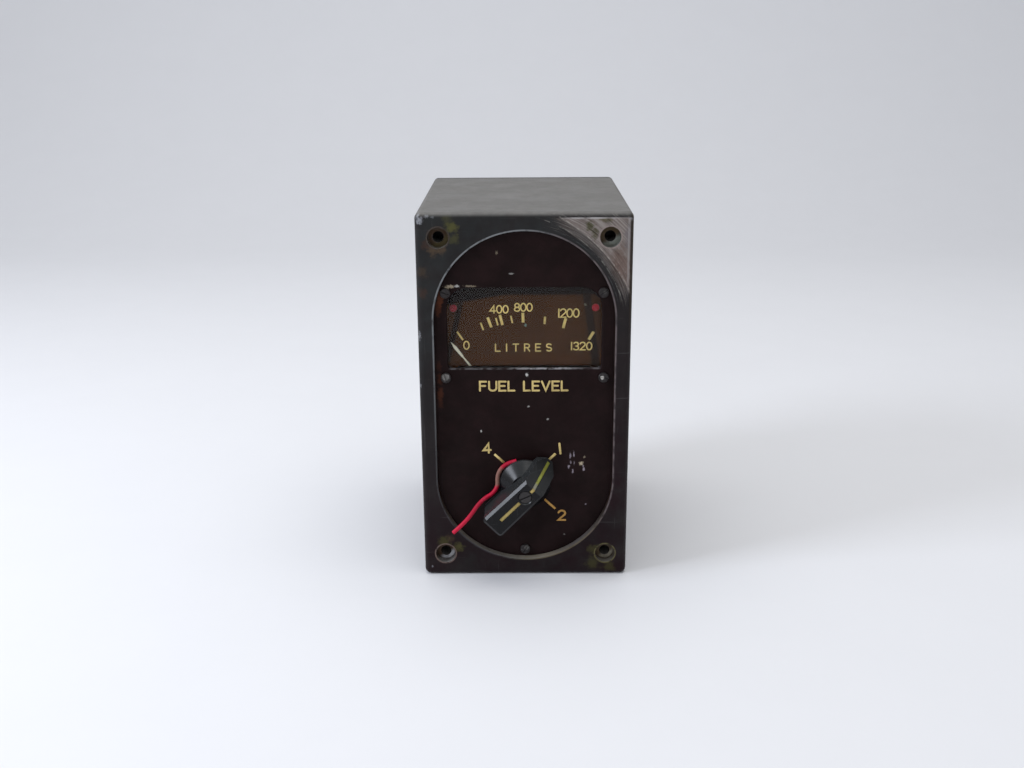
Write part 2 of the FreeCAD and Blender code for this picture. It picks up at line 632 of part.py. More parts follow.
def glass_clamps():
    """Two strips behind the plate that hold the glass by its lower and upper edges."""
    corner = CLAMP_HEIGHT / 4
    low = panel(LOWER_CLAMP_HALF_WIDTH, WINDOW_BOTTOM - CLAMP_HEIGHT, WINDOW_BOTTOM,
                PLATE_BACK, CLAMP_BACK, corner, corner)
    high = panel(UPPER_CLAMP_HALF_WIDTH, WINDOW_TOP, WINDOW_TOP + CLAMP_HEIGHT,
                 PLATE_BACK, CLAMP_BACK, corner, corner)
    holes = [rod(x, z, PLATE_BACK, CLAMP_BACK, CLAMP_SCREW_RADIUS) for x, z in clamp_screw_points()]
    return group([low.cut(holes), high.cut(holes)])


def clamp_screws():
    return group([slotted_screw(x, z, CLAMP_BACK, CLAMP_SCREW_HEAD_RADIUS, CLAMP_SCREW_HEAD_HEIGHT,
                                CLAMP_SCREW_RADIUS, CLAMP_THICKNESS + CLAMP_SCREW_DEPTH,
                                CLAMP_SLOT_ANGLE, facing=1)
                  for x, z in clamp_screw_points()])


def plate_gasket():
    inside = RIM_RADIUS - LEDGE_WIDTH
    outer = oblong(RIM_RADIUS - PLATE_GAP, RIM_HEIGHT - 2 * PLATE_GAP, PLATE_BACK, LEDGE_FRONT)
    band = outer.cut(oblong(inside, RIM_HEIGHT - 2 * LEDGE_WIDTH, PLATE_BACK, LEDGE_FRONT))
    pads = group([rod(x, z, PLATE_BACK, LEDGE_FRONT, LUG_RADIUS) for x, z in PLATE_SCREWS]).common(outer)
    holes = [rod(x, z, PLATE_BACK, LEDGE_FRONT, PLATE_SCREW_RADIUS + SCREW_HOLE_CLEARANCE)
             for x, z in PLATE_SCREWS]
    return join([band] + pads.Solids).cut(holes)


def plate_screws():
    length = BEZEL_THICKNESS - PLATE_RECESS
    return group([slotted_screw(x, z, PLATE_RECESS, PLATE_SCREW_HEAD_RADIUS, PLATE_SCREW_HEAD_HEIGHT,
                                PLATE_SCREW_RADIUS, length, angle)
                  for (x, z), angle in zip(PLATE_SCREWS, PLATE_SCREW_ANGLES)])


def stop_pin_points():
    """Both stop pins stand just outside the pointer's two end positions."""
    half = POINTER_ROOT_HALF_WIDTH + STOP_PIN_RADIUS + STOP_PIN_GAP
    angle = math.radians(POINTER_REST_ANGLE) + math.asin(half / STOP_PIN_REACH)
    x, z = STOP_PIN_REACH * math.sin(angle), PIVOT_Z + STOP_PIN_REACH * math.cos(angle)
    return [(-x, z), (x, z)]


def dial_screw_points(z):
    return [(-DIAL_SCREW_X, z), (DIAL_SCREW_X, z)]


def dial_plate():
    plate = panel(DIAL_HALF_WIDTH, DIAL_BOTTOM, DIAL_TOP, DIAL_FRONT, DIAL_BACK,
                  DIAL_CORNER_RADIUS, DIAL_CORNER_RADIUS)
    points = dial_screw_points(DIAL_SCREW_TOP_Z) + dial_screw_points(DIAL_SCREW_LOW_Z)
    cuts = [rod(x, z, DIAL_FRONT, DIAL_BACK, DIAL_SCREW_RADIUS) for x, z in points]
    cuts += [rod(x, z, DIAL_FRONT, DIAL_BACK, STOP_PIN_RADIUS) for x, z in stop_pin_points()]
    cuts.append(rod(0, PIVOT_Z, DIAL_FRONT, DIAL_BACK, DIAL_HUB_HOLE))
    return plate.cut(cuts)


def dial_screws(z):
    length = DIAL_THICKNESS + DIAL_SCREW_DEPTH
    return group([slotted_screw(x, zz, DIAL_FRONT, DIAL_SCREW_HEAD_RADIUS, DIAL_SCREW_HEAD_HEIGHT,
                                DIAL_SCREW_RADIUS, length, DIAL_SLOT_ANGLE)
                  for x, zz in dial_screw_points(z)])


def dial_posts():
    points = dial_screw_points(DIAL_SCREW_TOP_Z) + dial_screw_points(DIAL_SCREW_LOW_Z)
    return group([rod(x, z, DIAL_BACK, CHASSIS_FRONT, DIAL_POST_RADIUS)
                  .cut(rod(x, z, DIAL_BACK, DIAL_BACK + DIAL_SCREW_DEPTH, DIAL_SCREW_RADIUS))
                  for x, z in points])


def pointer_stops():
    return group([rod(x, z, POINTER_FRONT - STOP_PIN_PROUD, DIAL_BACK, STOP_PIN_RADIUS)
                  for x, z in stop_pin_points()])


def turned_to_rest(shape):
    """Pieces on the staff are drawn upright and turned to the left stop."""
    shape.rotate(Vector(0, 0, PIVOT_Z), Vector(0, 1, 0), -POINTER_REST_ANGLE)
    return shape


def pointer_blade():
    root, reach = POINTER_ROOT_HALF_WIDTH, POINTER_LENGTH
    flank = [(root, -POINTER_TAIL), (root, 0), (POINTER_NECK_HALF_WIDTH, reach - POINTER_NECK_FROM_TIP),
             (POINTER_HEEL_HALF_WIDTH, reach - POINTER_HEEL_FROM_TIP),
             (POINTER_BELLY_HALF_WIDTH, reach - POINTER_BELLY_FROM_TIP)]
    outline = [(-x, z) for x, z in flank] + [(0, reach)] + flank[::-1]
    points = [Vector(x, POINTER_FRONT, PIVOT_Z + z) for x, z in outline]
    face = Part.Face(Part.makePolygon(points + points[:1]))
    blade = face.extrude(Vector(0, POINTER_THICKNESS, 0))
    blade = blade.cut([rod(0, PIVOT_Z, POINTER_FRONT, POINTER_BACK, POINTER_HUB_RADIUS),
                       rod(0, PIVOT_Z - POINTER_TAIL, POINTER_FRONT, POINTER_BACK, WEIGHT_RADIUS)])
    pieces = sorted(blade.Solids, key=lambda s: s.Volume)
    return turned_to_rest(pieces[-1])


def pointer_hub():
    """Hub on the staff, with a short arm below it that carries the balance weight."""
    front, back = POINTER_BACK - WEIGHT_LENGTH, POINTER_BACK + POINTER_HUB_REAR
    hub = rod(0, PIVOT_Z, front, back, POINTER_HUB_RADIUS)
    arm = block(-POINTER_ROOT_HALF_WIDTH, POINTER_ROOT_HALF_WIDTH, POINTER_FRONT, POINTER_BACK,
                PIVOT_Z - POINTER_TAIL, PIVOT_Z)
    weight = rod(0, PIVOT_Z - POINTER_TAIL, front, POINTER_BACK, WEIGHT_RADIUS)
    whole = join([hub, arm, weight]).cut(rod(0, PIVOT_Z, front, back, STAFF_RADIUS))
    return turned_to_rest(whole)


def staff_shoulders():
    front_bearing_back = CHASSIS_FRONT + (CHASSIS_THICKNESS + FRONT_BEARING_LENGTH) / 2
    rear_bearing_front = BRIDGE_FRONT + (BRIDGE_THICKNESS - REAR_BEARING_LENGTH) / 2
    return front_bearing_back, rear_bearing_front


def pointer_staff():
    front_bearing_back, rear_bearing_front = staff_shoulders()
    front = POINTER_BACK - WEIGHT_LENGTH
    body_front = front_bearing_back + STAFF_FRONT_STEP
    body_back = rear_bearing_front - STAFF_REAR_STEP
    return join([
        rod(0, PIVOT_Z, front, body_front, STAFF_RADIUS),
        rod(0, PIVOT_Z, body_front, body_back, STAFF_BODY_RADIUS),
        rod(0, PIVOT_Z, body_back, rear_bearing_front + STAFF_PIVOT_LENGTH, STAFF_PIVOT_RADIUS),
    ])


def magnet_span():
    middle = (YOKE_FRONT + YOKE_BACK) / 2
    return middle - MAGNET_LENGTH / 2, middle + MAGNET_LENGTH / 2


def rotor_magnet():
    y0, y1 = magnet_span()
    return ring(0, PIVOT_Z, y0, y1, MAGNET_RADIUS, STAFF_BODY_RADIUS)


def front_bearing():
    y1, _ = staff_shoulders()
    return ring(0, PIVOT_Z, y1 - FRONT_BEARING_LENGTH, y1, FRONT_BEARING_RADIUS,
                STAFF_RADIUS + BEARING_CLEARANCE)


def rear_bearing():
    _, y0 = staff_shoulders()
    body = rod(0, PIVOT_Z, y0, y0 + REAR_BEARING_LENGTH, REAR_BEARING_RADIUS)
    hole_end = y0 + STAFF_PIVOT_LENGTH + STAFF_PIVOT_END_GAP
    return body.cut(rod(0, PIVOT_Z, y0, hole_end, STAFF_PIVOT_RADIUS + BEARING_CLEARANCE))


def damping_can():
    """Copper cup round the magnet, standing on the rear bridge."""
    y0 = magnet_span()[0] - CAN_OVERHANG
    can = rod(0, PIVOT_Z, y0, BRIDGE_FRONT, CAN_RADIUS)
    can = can.cut(rod(0, PIVOT_Z, y0, BRIDGE_FRONT - CAN_WALL, CAN_RADIUS - CAN_WALL))
    return can.cut(rod(0, PIVOT_Z, BRIDGE_FRONT - CAN_WALL, BRIDGE_FRONT, REAR_BEARING_RADIUS))


def core_start():
    return CAN_RADIUS + CORE_GAP


def limb_inner():
    return YOKE_HALF_WIDTH - YOKE_LIMB


def x_rod(x0, x1, y, z, radius):
    """A cylinder along X."""
    return Part.makeCylinder(radius, x1 - x0, Vector(x0, y, z), Vector(1, 0, 0))


def movement_yoke():
    """Iron arch over the movement with a round core on each side of the magnet."""
    bottom = PIVOT_Z - CORE_RADIUS - YOKE_FOOT
    middle = (YOKE_FRONT + YOKE_BACK) / 2
    arch = block(-YOKE_HALF_WIDTH, YOKE_HALF_WIDTH, YOKE_FRONT, YOKE_BACK, bottom, YOKE_TOP)
    inner = limb_inner()
    arch = arch.cut(block(-inner, inner, YOKE_FRONT, YOKE_BACK, bottom, YOKE_TOP - YOKE_HEAD))
    start = core_start()
    cores = [x_rod(start, inner, middle, PIVOT_Z, CORE_RADIUS),
             x_rod(-inner, -start, middle, PIVOT_Z, CORE_RADIUS)]
    holes = [rod(sx * MOVEMENT_PILLAR_X, pillar_z(), YOKE_FRONT, YOKE_BACK, MOVEMENT_STUD_RADIUS)
             for sx in (-1, 1)]
    return join([arch] + cores).cut(holes)


def pillar_z():
    return YOKE_TOP - YOKE_HEAD / 2


def bobbin_span():
    return core_start() + BOBBIN_START_GAP, limb_inner() - BOBBIN_END_GAP


def coil_bobbins():
    middle = (YOKE_FRONT + YOKE_BACK) / 2
    x0, x1 = bobbin_span()
    bobbins = []
    for side in (-1, 1):
        ends = sorted([side * x0, side * x1])
        tube = x_rod(ends[0], ends[1], middle, PIVOT_Z, CORE_RADIUS + BOBBIN_TUBE)
        cheeks = [x_rod(ends[0], ends[0] + BOBBIN_FLANGE, middle, PIVOT_Z, BOBBIN_RADIUS),
                  x_rod(ends[1] - BOBBIN_FLANGE, ends[1], middle, PIVOT_Z, BOBBIN_RADIUS)]
        whole = join([tube] + cheeks)
        bobbins.append(whole.cut(x_rod(ends[0], ends[1], middle, PIVOT_Z, CORE_RADIUS)))
    return group(bobbins)


def coil_windings():
    middle = (YOKE_FRONT + YOKE_BACK) / 2
    x0, x1 = bobbin_span()
    coils = []
    for side in (-1, 1):
        ends = sorted([side * (x0 + BOBBIN_FLANGE), side * (x1 - BOBBIN_FLANGE)])
        outer = x_rod(ends[0], ends[1], middle, PIVOT_Z, BOBBIN_RADIUS - WINDING_MARGIN)
        coils.append(outer.cut(x_rod(ends[0], ends[1], middle, PIVOT_Z, CORE_RADIUS + BOBBIN_TUBE)))
    return group(coils)


def movement_pillars():
    """Stepped pillars: the yoke sits on the first step and the rear bridge on the last."""
    pillars = []
    for side in (-1, 1):
        x, z = side * MOVEMENT_PILLAR_X, pillar_z()
        pillars.append(rod(x, z, CHASSIS_BACK, YOKE_FRONT, MOVEMENT_PILLAR_RADIUS))
        stud = rod(x, z, YOKE_FRONT, BRIDGE_BACK + BRIDGE_NUT_THICKNESS, MOVEMENT_STUD_RADIUS)
        collar = rod(x, z, YOKE_BACK, BRIDGE_FRONT, MOVEMENT_PILLAR_RADIUS)
        pillars[-1] = join([pillars[-1], stud, collar])
    return group(pillars)


def bridge_nuts():
    z, back = pillar_z(), BRIDGE_BACK + BRIDGE_NUT_THICKNESS
    return group([hexagon(side * MOVEMENT_PILLAR_X, z, BRIDGE_BACK, back, BRIDGE_NUT_RADIUS)
                  .cut(rod(side * MOVEMENT_PILLAR_X, z, BRIDGE_BACK, back, MOVEMENT_STUD_RADIUS))
                  for side in (-1, 1)])


def hexagon(x, z, y0, y1, corner_radius):
    points = [Vector(x + corner_radius * math.cos(math.radians(60 * k)), y0,
                     z + corner_radius * math.sin(math.radians(60 * k))) for k in range(6)]
    return Part.Face(Part.makePolygon(points + points[:1])).extrude(Vector(0, y1 - y0, 0))


def rear_bridge():
    """A bar across the pillars with a round foot below it for the rear bearing."""
    z = pillar_z()
    bar = block(-MOVEMENT_PILLAR_X, MOVEMENT_PILLAR_X, BRIDGE_FRONT, BRIDGE_BACK,
                z - MOVEMENT_PILLAR_RADIUS, z + MOVEMENT_PILLAR_RADIUS)
    ends = [rod(side * MOVEMENT_PILLAR_X, z, BRIDGE_FRONT, BRIDGE_BACK, MOVEMENT_PILLAR_RADIUS)
            for side in (-1, 1)]
    leg = block(-CAN_RADIUS, CAN_RADIUS, BRIDGE_FRONT, BRIDGE_BACK, PIVOT_Z, z)
    foot = rod(0, PIVOT_Z, BRIDGE_FRONT, BRIDGE_BACK, CAN_RADIUS)
    holes = [rod(side * MOVEMENT_PILLAR_X, z, BRIDGE_FRONT, BRIDGE_BACK, MOVEMENT_STUD_RADIUS)
             for side in (-1, 1)]
    holes.append(rod(0, PIVOT_Z, BRIDGE_FRONT, BRIDGE_BACK, REAR_BEARING_RADIUS))
    return join([bar, leg, foot] + ends).cut(holes)


def return_magnet():
    return rod(0, PIVOT_Z + RETURN_MAGNET_OFFSET, BRIDGE_FRONT - RETURN_MAGNET_LENGTH, BRIDGE_FRONT,
               RETURN_MAGNET_RADIUS)


def chassis_plate():
    plate = panel(CHASSIS_HALF_WIDTH, -CHASSIS_HALF_HEIGHT, CHASSIS_HALF_HEIGHT,
                  CHASSIS_FRONT, CHASSIS_BACK, CHASSIS_CORNER, CHASSIS_CORNER)
    cuts = [rod(x, z, CHASSIS_FRONT, CHASSIS_BACK, CHASSIS_SCREW_RADIUS) for x, z in chassis_points()]
    cuts += [rod(x, z, CHASSIS_FRONT, CHASSIS_BACK, CHASSIS_SCREW_RADIUS) for x, z in pillar_points()]
    cuts.append(rod(0, PIVOT_Z, CHASSIS_FRONT, CHASSIS_BACK, FRONT_BEARING_RADIUS))
    side_gap, end_gap = SWITCH_CUTOUT_GAP
    reach = STOP_TAB_RADIUS + end_gap
    cuts.append(panel(TIE_ROD_X + TIE_EAR_RADIUS + side_gap, SELECTOR_Z - reach, SELECTOR_Z + reach,
                      CHASSIS_FRONT, CHASSIS_BACK, CHASSIS_CORNER, CHASSIS_CORNER))
    return plate.cut(cuts)


def chassis_screws():
    return group([slotted_screw(x, z, CHASSIS_BACK, PAN_HEAD_RADIUS, PAN_HEAD_HEIGHT,
                                CHASSIS_SCREW_RADIUS, CHASSIS_SCREW_LENGTH, CHASSIS_SLOT_ANGLE, facing=1)
                  for x, z in chassis_points()])


def chassis_pillars():
    """Turned pillars between the two chassis plates, each with a spigot at both ends."""
    pillars = []
    for x, z in pillar_points():
        body = rod(x, z, CHASSIS_BACK, REAR_PLATE_FRONT, PILLAR_RADIUS)
        spigot = rod(x, z, CHASSIS_FRONT, REAR_PLATE_BACK, CHASSIS_SCREW_RADIUS)
        pillars.append(join([body, spigot]))
    return group(pillars)


def rear_chassis_plate():
    half_height = CHASSIS_HALF_HEIGHT - REAR_PLATE_END_STEP
    plate = panel(CHASSIS_HALF_WIDTH - REAR_PLATE_SIDE_STEP, -half_height, half_height,
                  REAR_PLATE_FRONT, REAR_PLATE_BACK, CHASSIS_CORNER, CHASSIS_CORNER)
    window_height = BOARD_SPACER[1] - REAR_WINDOW_MARGIN[1]
    window = panel(BOARD_SPACER[0] - REAR_WINDOW_MARGIN[0], -window_height, window_height,
                   REAR_PLATE_FRONT, REAR_PLATE_BACK, REAR_WINDOW_CORNER, REAR_WINDOW_CORNER)
    cuts = [rod(x, z, REAR_PLATE_FRONT, REAR_PLATE_BACK, CHASSIS_SCREW_RADIUS) for x, z in pillar_points()]
    return plate.cut(cuts + [window])


def board_spacer_points():
    return [(sx * BOARD_SPACER[0], sz * BOARD_SPACER[1]) for sx, sz in CORNERS]


def board_spacers():
    """Posts with a spigot through the board, riveted over behind it."""
    posts = []
    for x, z in board_spacer_points():
        posts.append(join([rod(x, z, REAR_PLATE_BACK, BOARD_FRONT, SPACER_RADIUS),
                           rod(x, z, BOARD_FRONT, BOARD_BACK, RIVET_RADIUS),
                           rod(x, z, BOARD_BACK, BOARD_BACK + RIVET_HEAD_HEIGHT, RIVET_HEAD_RADIUS)]))
    return group(posts)


def component_board():
    board = panel(BOARD_HALF_WIDTH, -BOARD_HALF_HEIGHT, BOARD_HALF_HEIGHT, BOARD_FRONT, BOARD_BACK,
                  BOARD_CORNER, BOARD_CORNER)
    return board.cut([rod(x, z, BOARD_FRONT, BOARD_BACK, RIVET_RADIUS) for x, z in board_spacer_points()])


def resistors():
    """Wire-wound resistors lying on the board, each a waisted body on two end caps."""
    parts = []
    y = BOARD_BACK + RESISTOR_RADIUS
    for z in RESISTOR_ROWS:
        for side in (-1, 1):
            x0 = side * RESISTOR_X - RESISTOR_LENGTH / 2
            x1 = x0 + RESISTOR_LENGTH
            body = x_rod(x0, x1, y, z, RESISTOR_RADIUS - RESISTOR_WAIST)
            caps = [x_rod(x0, x0 + RESISTOR_CAP, y, z, RESISTOR_RADIUS),
                    x_rod(x1 - RESISTOR_CAP, x1, y, z, RESISTOR_RADIUS)]
            parts.append(join([body] + caps))
    return group(parts)


def trimmers():
    """Calibrating potentiometers with a slotted spindle each."""
    parts = []
    top = BOARD_BACK + TRIMMER_HEIGHT
    tip = top + TRIMMER_SPINDLE_LENGTH
    half_slot = TRIMMER_SLOT_WIDTH / 2
    for x in (-TRIMMER_PITCH, 0.0, TRIMMER_PITCH):
        body = rod(x, TRIMMER_Z, BOARD_BACK, top, TRIMMER_RADIUS)
        spindle = rod(x, TRIMMER_Z, top, tip, TRIMMER_SPINDLE_RADIUS)
        slot = block(x - TRIMMER_SPINDLE_RADIUS, x + TRIMMER_SPINDLE_RADIUS, tip - TRIMMER_SLOT_DEPTH, tip,
                     TRIMMER_Z - half_slot, TRIMMER_Z + half_slot)
        parts.append(join([body, spindle]).cut(slot))
    return group(parts)


def selector_bushing():
    """Threaded barrel through the front plate, with a round shoulder behind it."""
    nut_front = PLATE_RECESS - WASHER_THICKNESS - NUT_THICKNESS
    barrel = rod(0, SELECTOR_Z, nut_front - BUSHING_PROUD, PLATE_BACK, BUSHING_RADIUS)
    shoulder = rod(0, SELECTOR_Z, PLATE_BACK, frame_plate_front(), BUSHING_RADIUS + SHOULDER_MARGIN)
    bore = rod(0, SELECTOR_Z, nut_front - BUSHING_PROUD, FRAME_BACK, SHAFT_RADIUS + SHAFT_CLEARANCE)
    return join([barrel, shoulder]).cut(bore)


def bushing_washer():
    return ring(0, SELECTOR_Z, PLATE_RECESS - WASHER_THICKNESS, PLATE_RECESS, WASHER_RADIUS, BUSHING_RADIUS)


def bushing_nut():
    y1 = PLATE_RECESS - WASHER_THICKNESS
    corner = NUT_ACROSS_FLATS / 2 / math.cos(math.radians(30))
    return hexagon(0, SELECTOR_Z, y1 - NUT_THICKNESS, y1, corner).cut(
        rod(0, SELECTOR_Z, y1 - NUT_THICKNESS, y1, BUSHING_RADIUS))


def eared_disc(radius, y0, y1, ear_radius):
    """A disc on the selector's axis with an ear for the tie rod on each side."""
    disc = rod(0, SELECTOR_Z, y0, y1, radius)
    arm = block(-TIE_ROD_X, TIE_ROD_X, y0, y1, SELECTOR_Z - ear_radius, SELECTOR_Z + ear_radius)
    ears = [rod(side * TIE_ROD_X, SELECTOR_Z, y0, y1, ear_radius) for side in (-1, 1)]
    return join([disc, arm] + ears)


def tie_rod_holes(y0, y1):
    return [rod(side * TIE_ROD_X, SELECTOR_Z, y0, y1, TIE_ROD_RADIUS) for side in (-1, 1)]


def frame_plate_front():
    return PLATE_BACK + SHOULDER_THICKNESS


def selector_polar(reach, angle):
    """A point round the selector's axis, its angle clockwise from the top seen from the front."""
    turn = math.radians(angle)
    return reach * math.sin(turn), SELECTOR_Z + reach * math.cos(turn)


def sector(radius, y0, y1, middle, half_angle):
    """A slice of a disc on the selector's axis, less than half of it."""
    far = radius / math.cos(math.radians(half_angle)) * SLICE_OVERRUN
    corners = [(0.0, SELECTOR_Z), selector_polar(far, middle - half_angle),
               selector_polar(far, middle + half_angle)]
    points = [Vector(x, y0, z) for x, z in corners]
    wedge = Part.Face(Part.makePolygon(points + points[:1])).extrude(Vector(0, y1 - y0, 0))
    return rod(0, SELECTOR_Z, y0, y1, radius).common(wedge)


def switch_frame():
    y0 = frame_plate_front()
    frame = eared_disc(FRAME_RADIUS, y0, FRAME_BACK, TIE_EAR_RADIUS)
    bore = rod(0, SELECTOR_Z, y0, FRAME_BACK, SHAFT_RADIUS + FRAME_BORE_CLEARANCE)
    frame = frame.cut([bore] + tie_rod_holes(y0, FRAME_BACK))
    x, z = selector_polar(FRAME_STOP_REACH, FRAME_STOP_ANGLE)
    stop = rod(x, z, FRAME_BACK - FRAME_STOP_SEAT, detent_places()[1], FRAME_STOP_RADIUS)
    return join([frame, stop])


def detent_places():
    """Front of the stop tab, the plane between the tab and the notched wheel, and the wheel's back."""
    y0 = FRAME_BACK + DETENT_GAP
    y1 = y0 + STOP_TAB_THICKNESS
    return y0, y1, y1 + DETENT_THICKNESS


def detent_wheel():
    """Wheel with a notch for each tank behind a wide tab that meets the fixed stop at both ends."""
    y0, y1, y2 = detent_places()
    gap_angle = math.degrees((FRAME_STOP_RADIUS + FRAME_STOP_GAP) / FRAME_STOP_REACH)
    free_half = (FULL_TURN - SELECTOR_TRAVEL) / 2
    tab = sector(STOP_TAB_RADIUS, y0, y1, FRAME_STOP_ANGLE + free_half, free_half - gap_angle)
    wheel = join([rod(0, SELECTOR_Z, y0, y2, DETENT_RADIUS), tab])
    notches = []
    step = SELECTOR_TRAVEL / (TANKS - 1)
    for k in range(TANKS):
        x, z = selector_polar(DETENT_RADIUS + NOTCH_RADIUS - NOTCH_DEPTH, BALL_ANGLE + step * k)
        notches.append(rod(x, z, y1, y2, NOTCH_RADIUS))
    return wheel.cut(notches + [rod(0, SELECTOR_Z, y0, y2, SHAFT_RADIUS)])


def detent_ball():
    _, y1, y2 = detent_places()
    x, z = selector_polar(DETENT_RADIUS + BALL_RADIUS + BALL_GAP, BALL_ANGLE)
    return Part.makeSphere(BALL_RADIUS, Vector(x, (y1 + y2) / 2, z))


def detent_spring():
    """Bowed leaf over the ball, with a foot on each ear of the switch frame."""
    y0, y1, y2 = detent_places()
    inner = DETENT_RADIUS + BALL_GAP + 2 * BALL_RADIUS
    outer = inner + SPRING_THICKNESS
    front, back = y1 + SPRING_SIDE_GAP, y2 - SPRING_SIDE_GAP
    band = ring(0, SELECTOR_Z, front, back, outer, inner)
    band = band.common(sector(outer, front, back, BALL_ANGLE, SPRING_HALF_ANGLE))
    foot_inner = STOP_TAB_RADIUS + SPRING_FOOT_GAP
    foot_outer = foot_inner + SPRING_FOOT_THICKNESS
    low, high = SELECTOR_Z + SPRING_FOOT_LOW, SELECTOR_Z + SPRING_FOOT_HIGH
    feet = []
    for side in (-1, 1):
        x0, x1 = sorted([side * (inner + SPRING_THICKNESS / 4), side * foot_outer])
        feet.append(block(x0, x1, front, back, low, high))
        x0, x1 = sorted([side * foot_inner, side * foot_outer])
        feet.append(block(x0, x1, FRAME_BACK, back, low, high))
    return join([band] + feet)


def selector_shaft():
    """Shaft from the knob to the last wafer."""
    front = KNOB_TOP + KNOB_BORE_FLOOR
    shaft = rod(0, SELECTOR_Z, front, TIE_END, SHAFT_RADIUS)
    return shaft.cut(rod(0, SELECTOR_Z, front, front + KNOB_SCREW_DEPTH, KNOB_SCREW_SHANK))


def tie_rods():
    return group([rod(side * TIE_ROD_X, SELECTOR_Z, frame_plate_front(), TIE_END, TIE_ROD_RADIUS)
                  for side in (-1, 1)])


def tie_rod_nuts():
    y0 = WAFERS[-1] + WAFER_THICKNESS
    return group([hexagon(side * TIE_ROD_X, SELECTOR_Z, y0, y0 + TIE_NUT_THICKNESS, TIE_NUT_RADIUS)
                  .cut(rod(side * TIE_ROD_X, SELECTOR_Z, y0, y0 + TIE_NUT_THICKNESS, TIE_ROD_RADIUS))
                  for side in (-1, 1)])


def wafer_spacers():
    starts = [FRAME_BACK] + [y + WAFER_THICKNESS for y in WAFERS[:-1]]
    tubes = []
    for y0, y1 in zip(starts, WAFERS):
        for side in (-1, 1):
            tubes.append(ring(side * TIE_ROD_X, SELECTOR_Z, y0, y1, SPACER_RADIUS, TIE_ROD_RADIUS))
    return group(tubes)


def switch_wafers():
    wafers = []
    for y in WAFERS:
        back = y + WAFER_THICKNESS
        wafer = eared_disc(WAFER_RADIUS, y, back, TIE_EAR_RADIUS)
        wafers.append(wafer.cut([rod(0, SELECTOR_Z, y, back, ROTOR_RADIUS + ROTOR_CLEARANCE)]
                                + tie_rod_holes(y, back)))
    return group(wafers)


def switch_contacts():
    """Clips round each wafer, standing on its rear face."""
    clips = []
    for y in WAFERS:
        back = y + WAFER_THICKNESS
        for k in range(CONTACTS_PER_WAFER):
            angle = FULL_TURN / CONTACTS_PER_WAFER * (k + 0.5)
            if min(abs(angle - ear) for ear in (90.0, 270.0)) < CONTACT_EAR_ANGLE:
                continue
            clip = block(-CONTACT_WIDTH / 2, CONTACT_WIDTH / 2, back, back + CONTACT_THICKNESS,
                         ROTOR_RADIUS + CONTACT_ROTOR_GAP, CONTACT_REACH)
            clip.rotate(Vector(0, 0, 0), Vector(0, 1, 0), angle)
            clip.translate(Vector(0, 0, SELECTOR_Z))
            clips.append(clip)
    return group(clips)


def switch_rotors():
    return group([ring(0, SELECTOR_Z, y, y + WAFER_THICKNESS, ROTOR_RADIUS, SHAFT_RADIUS) for y in WAFERS])


def turned_to_tank_one(shape):
    """The knob is drawn pointing along +X and turned to the first tank's mark."""
    shape.rotate(Vector(0, 0, 0), Vector(0, 1, 0), KNOB_ANGLE - 90.0)
    shape.translate(Vector(0, 0, SELECTOR_Z))
    return shape


def knob_bar():
    """The bar: its plan outline and its side outline, each swept right through the other."""
    tail, nose = KNOB_TAIL_WIDTH / 2, KNOB_NOSE_WIDTH / 2
    tip = KNOB_TIP_WIDTH / 2
    plan = [(-KNOB_TAIL, -tail), (-KNOB_TAIL, tail), (KNOB_SHOULDER, nose), (KNOB_NOSE, tip),
            (KNOB_NOSE, -tip), (KNOB_SHOULDER, -nose)]
    points = [Vector(u, KNOB_TOP, v) for u, v in plan]
    solid = Part.Face(Part.makePolygon(points + points[:1])).extrude(Vector(0, KNOB_BASE - KNOB_TOP, 0))
    corners = [e for e in solid.Edges if is_along_y(e) and e.BoundBox.XMax < OVERRUN - KNOB_TAIL]
    solid = solid.makeFillet(KNOB_TAIL_CORNER, corners)
    wide = KNOB_TAIL_WIDTH
    side = [(-KNOB_TAIL - OVERRUN, KNOB_BASE), (-KNOB_TAIL - OVERRUN, KNOB_TOP), (KNOB_BEND, KNOB_TOP),
            (KNOB_NOSE, KNOB_BASE)]
    points = [Vector(u, y, -wide) for u, y in side]
    wedge = Part.Face(Part.makePolygon(points + points[:1])).extrude(Vector(0, 0, 2 * wide))
    solid = solid.common(wedge)
    top = [e for e in solid.Edges if abs(e.BoundBox.YMax - KNOB_TOP) < 1e-5]
    top = [e for e in top if e.BoundBox.XMin < KNOB_BEND - 1e-3]
    return solid.makeChamfer(KNOB_EDGE, top)


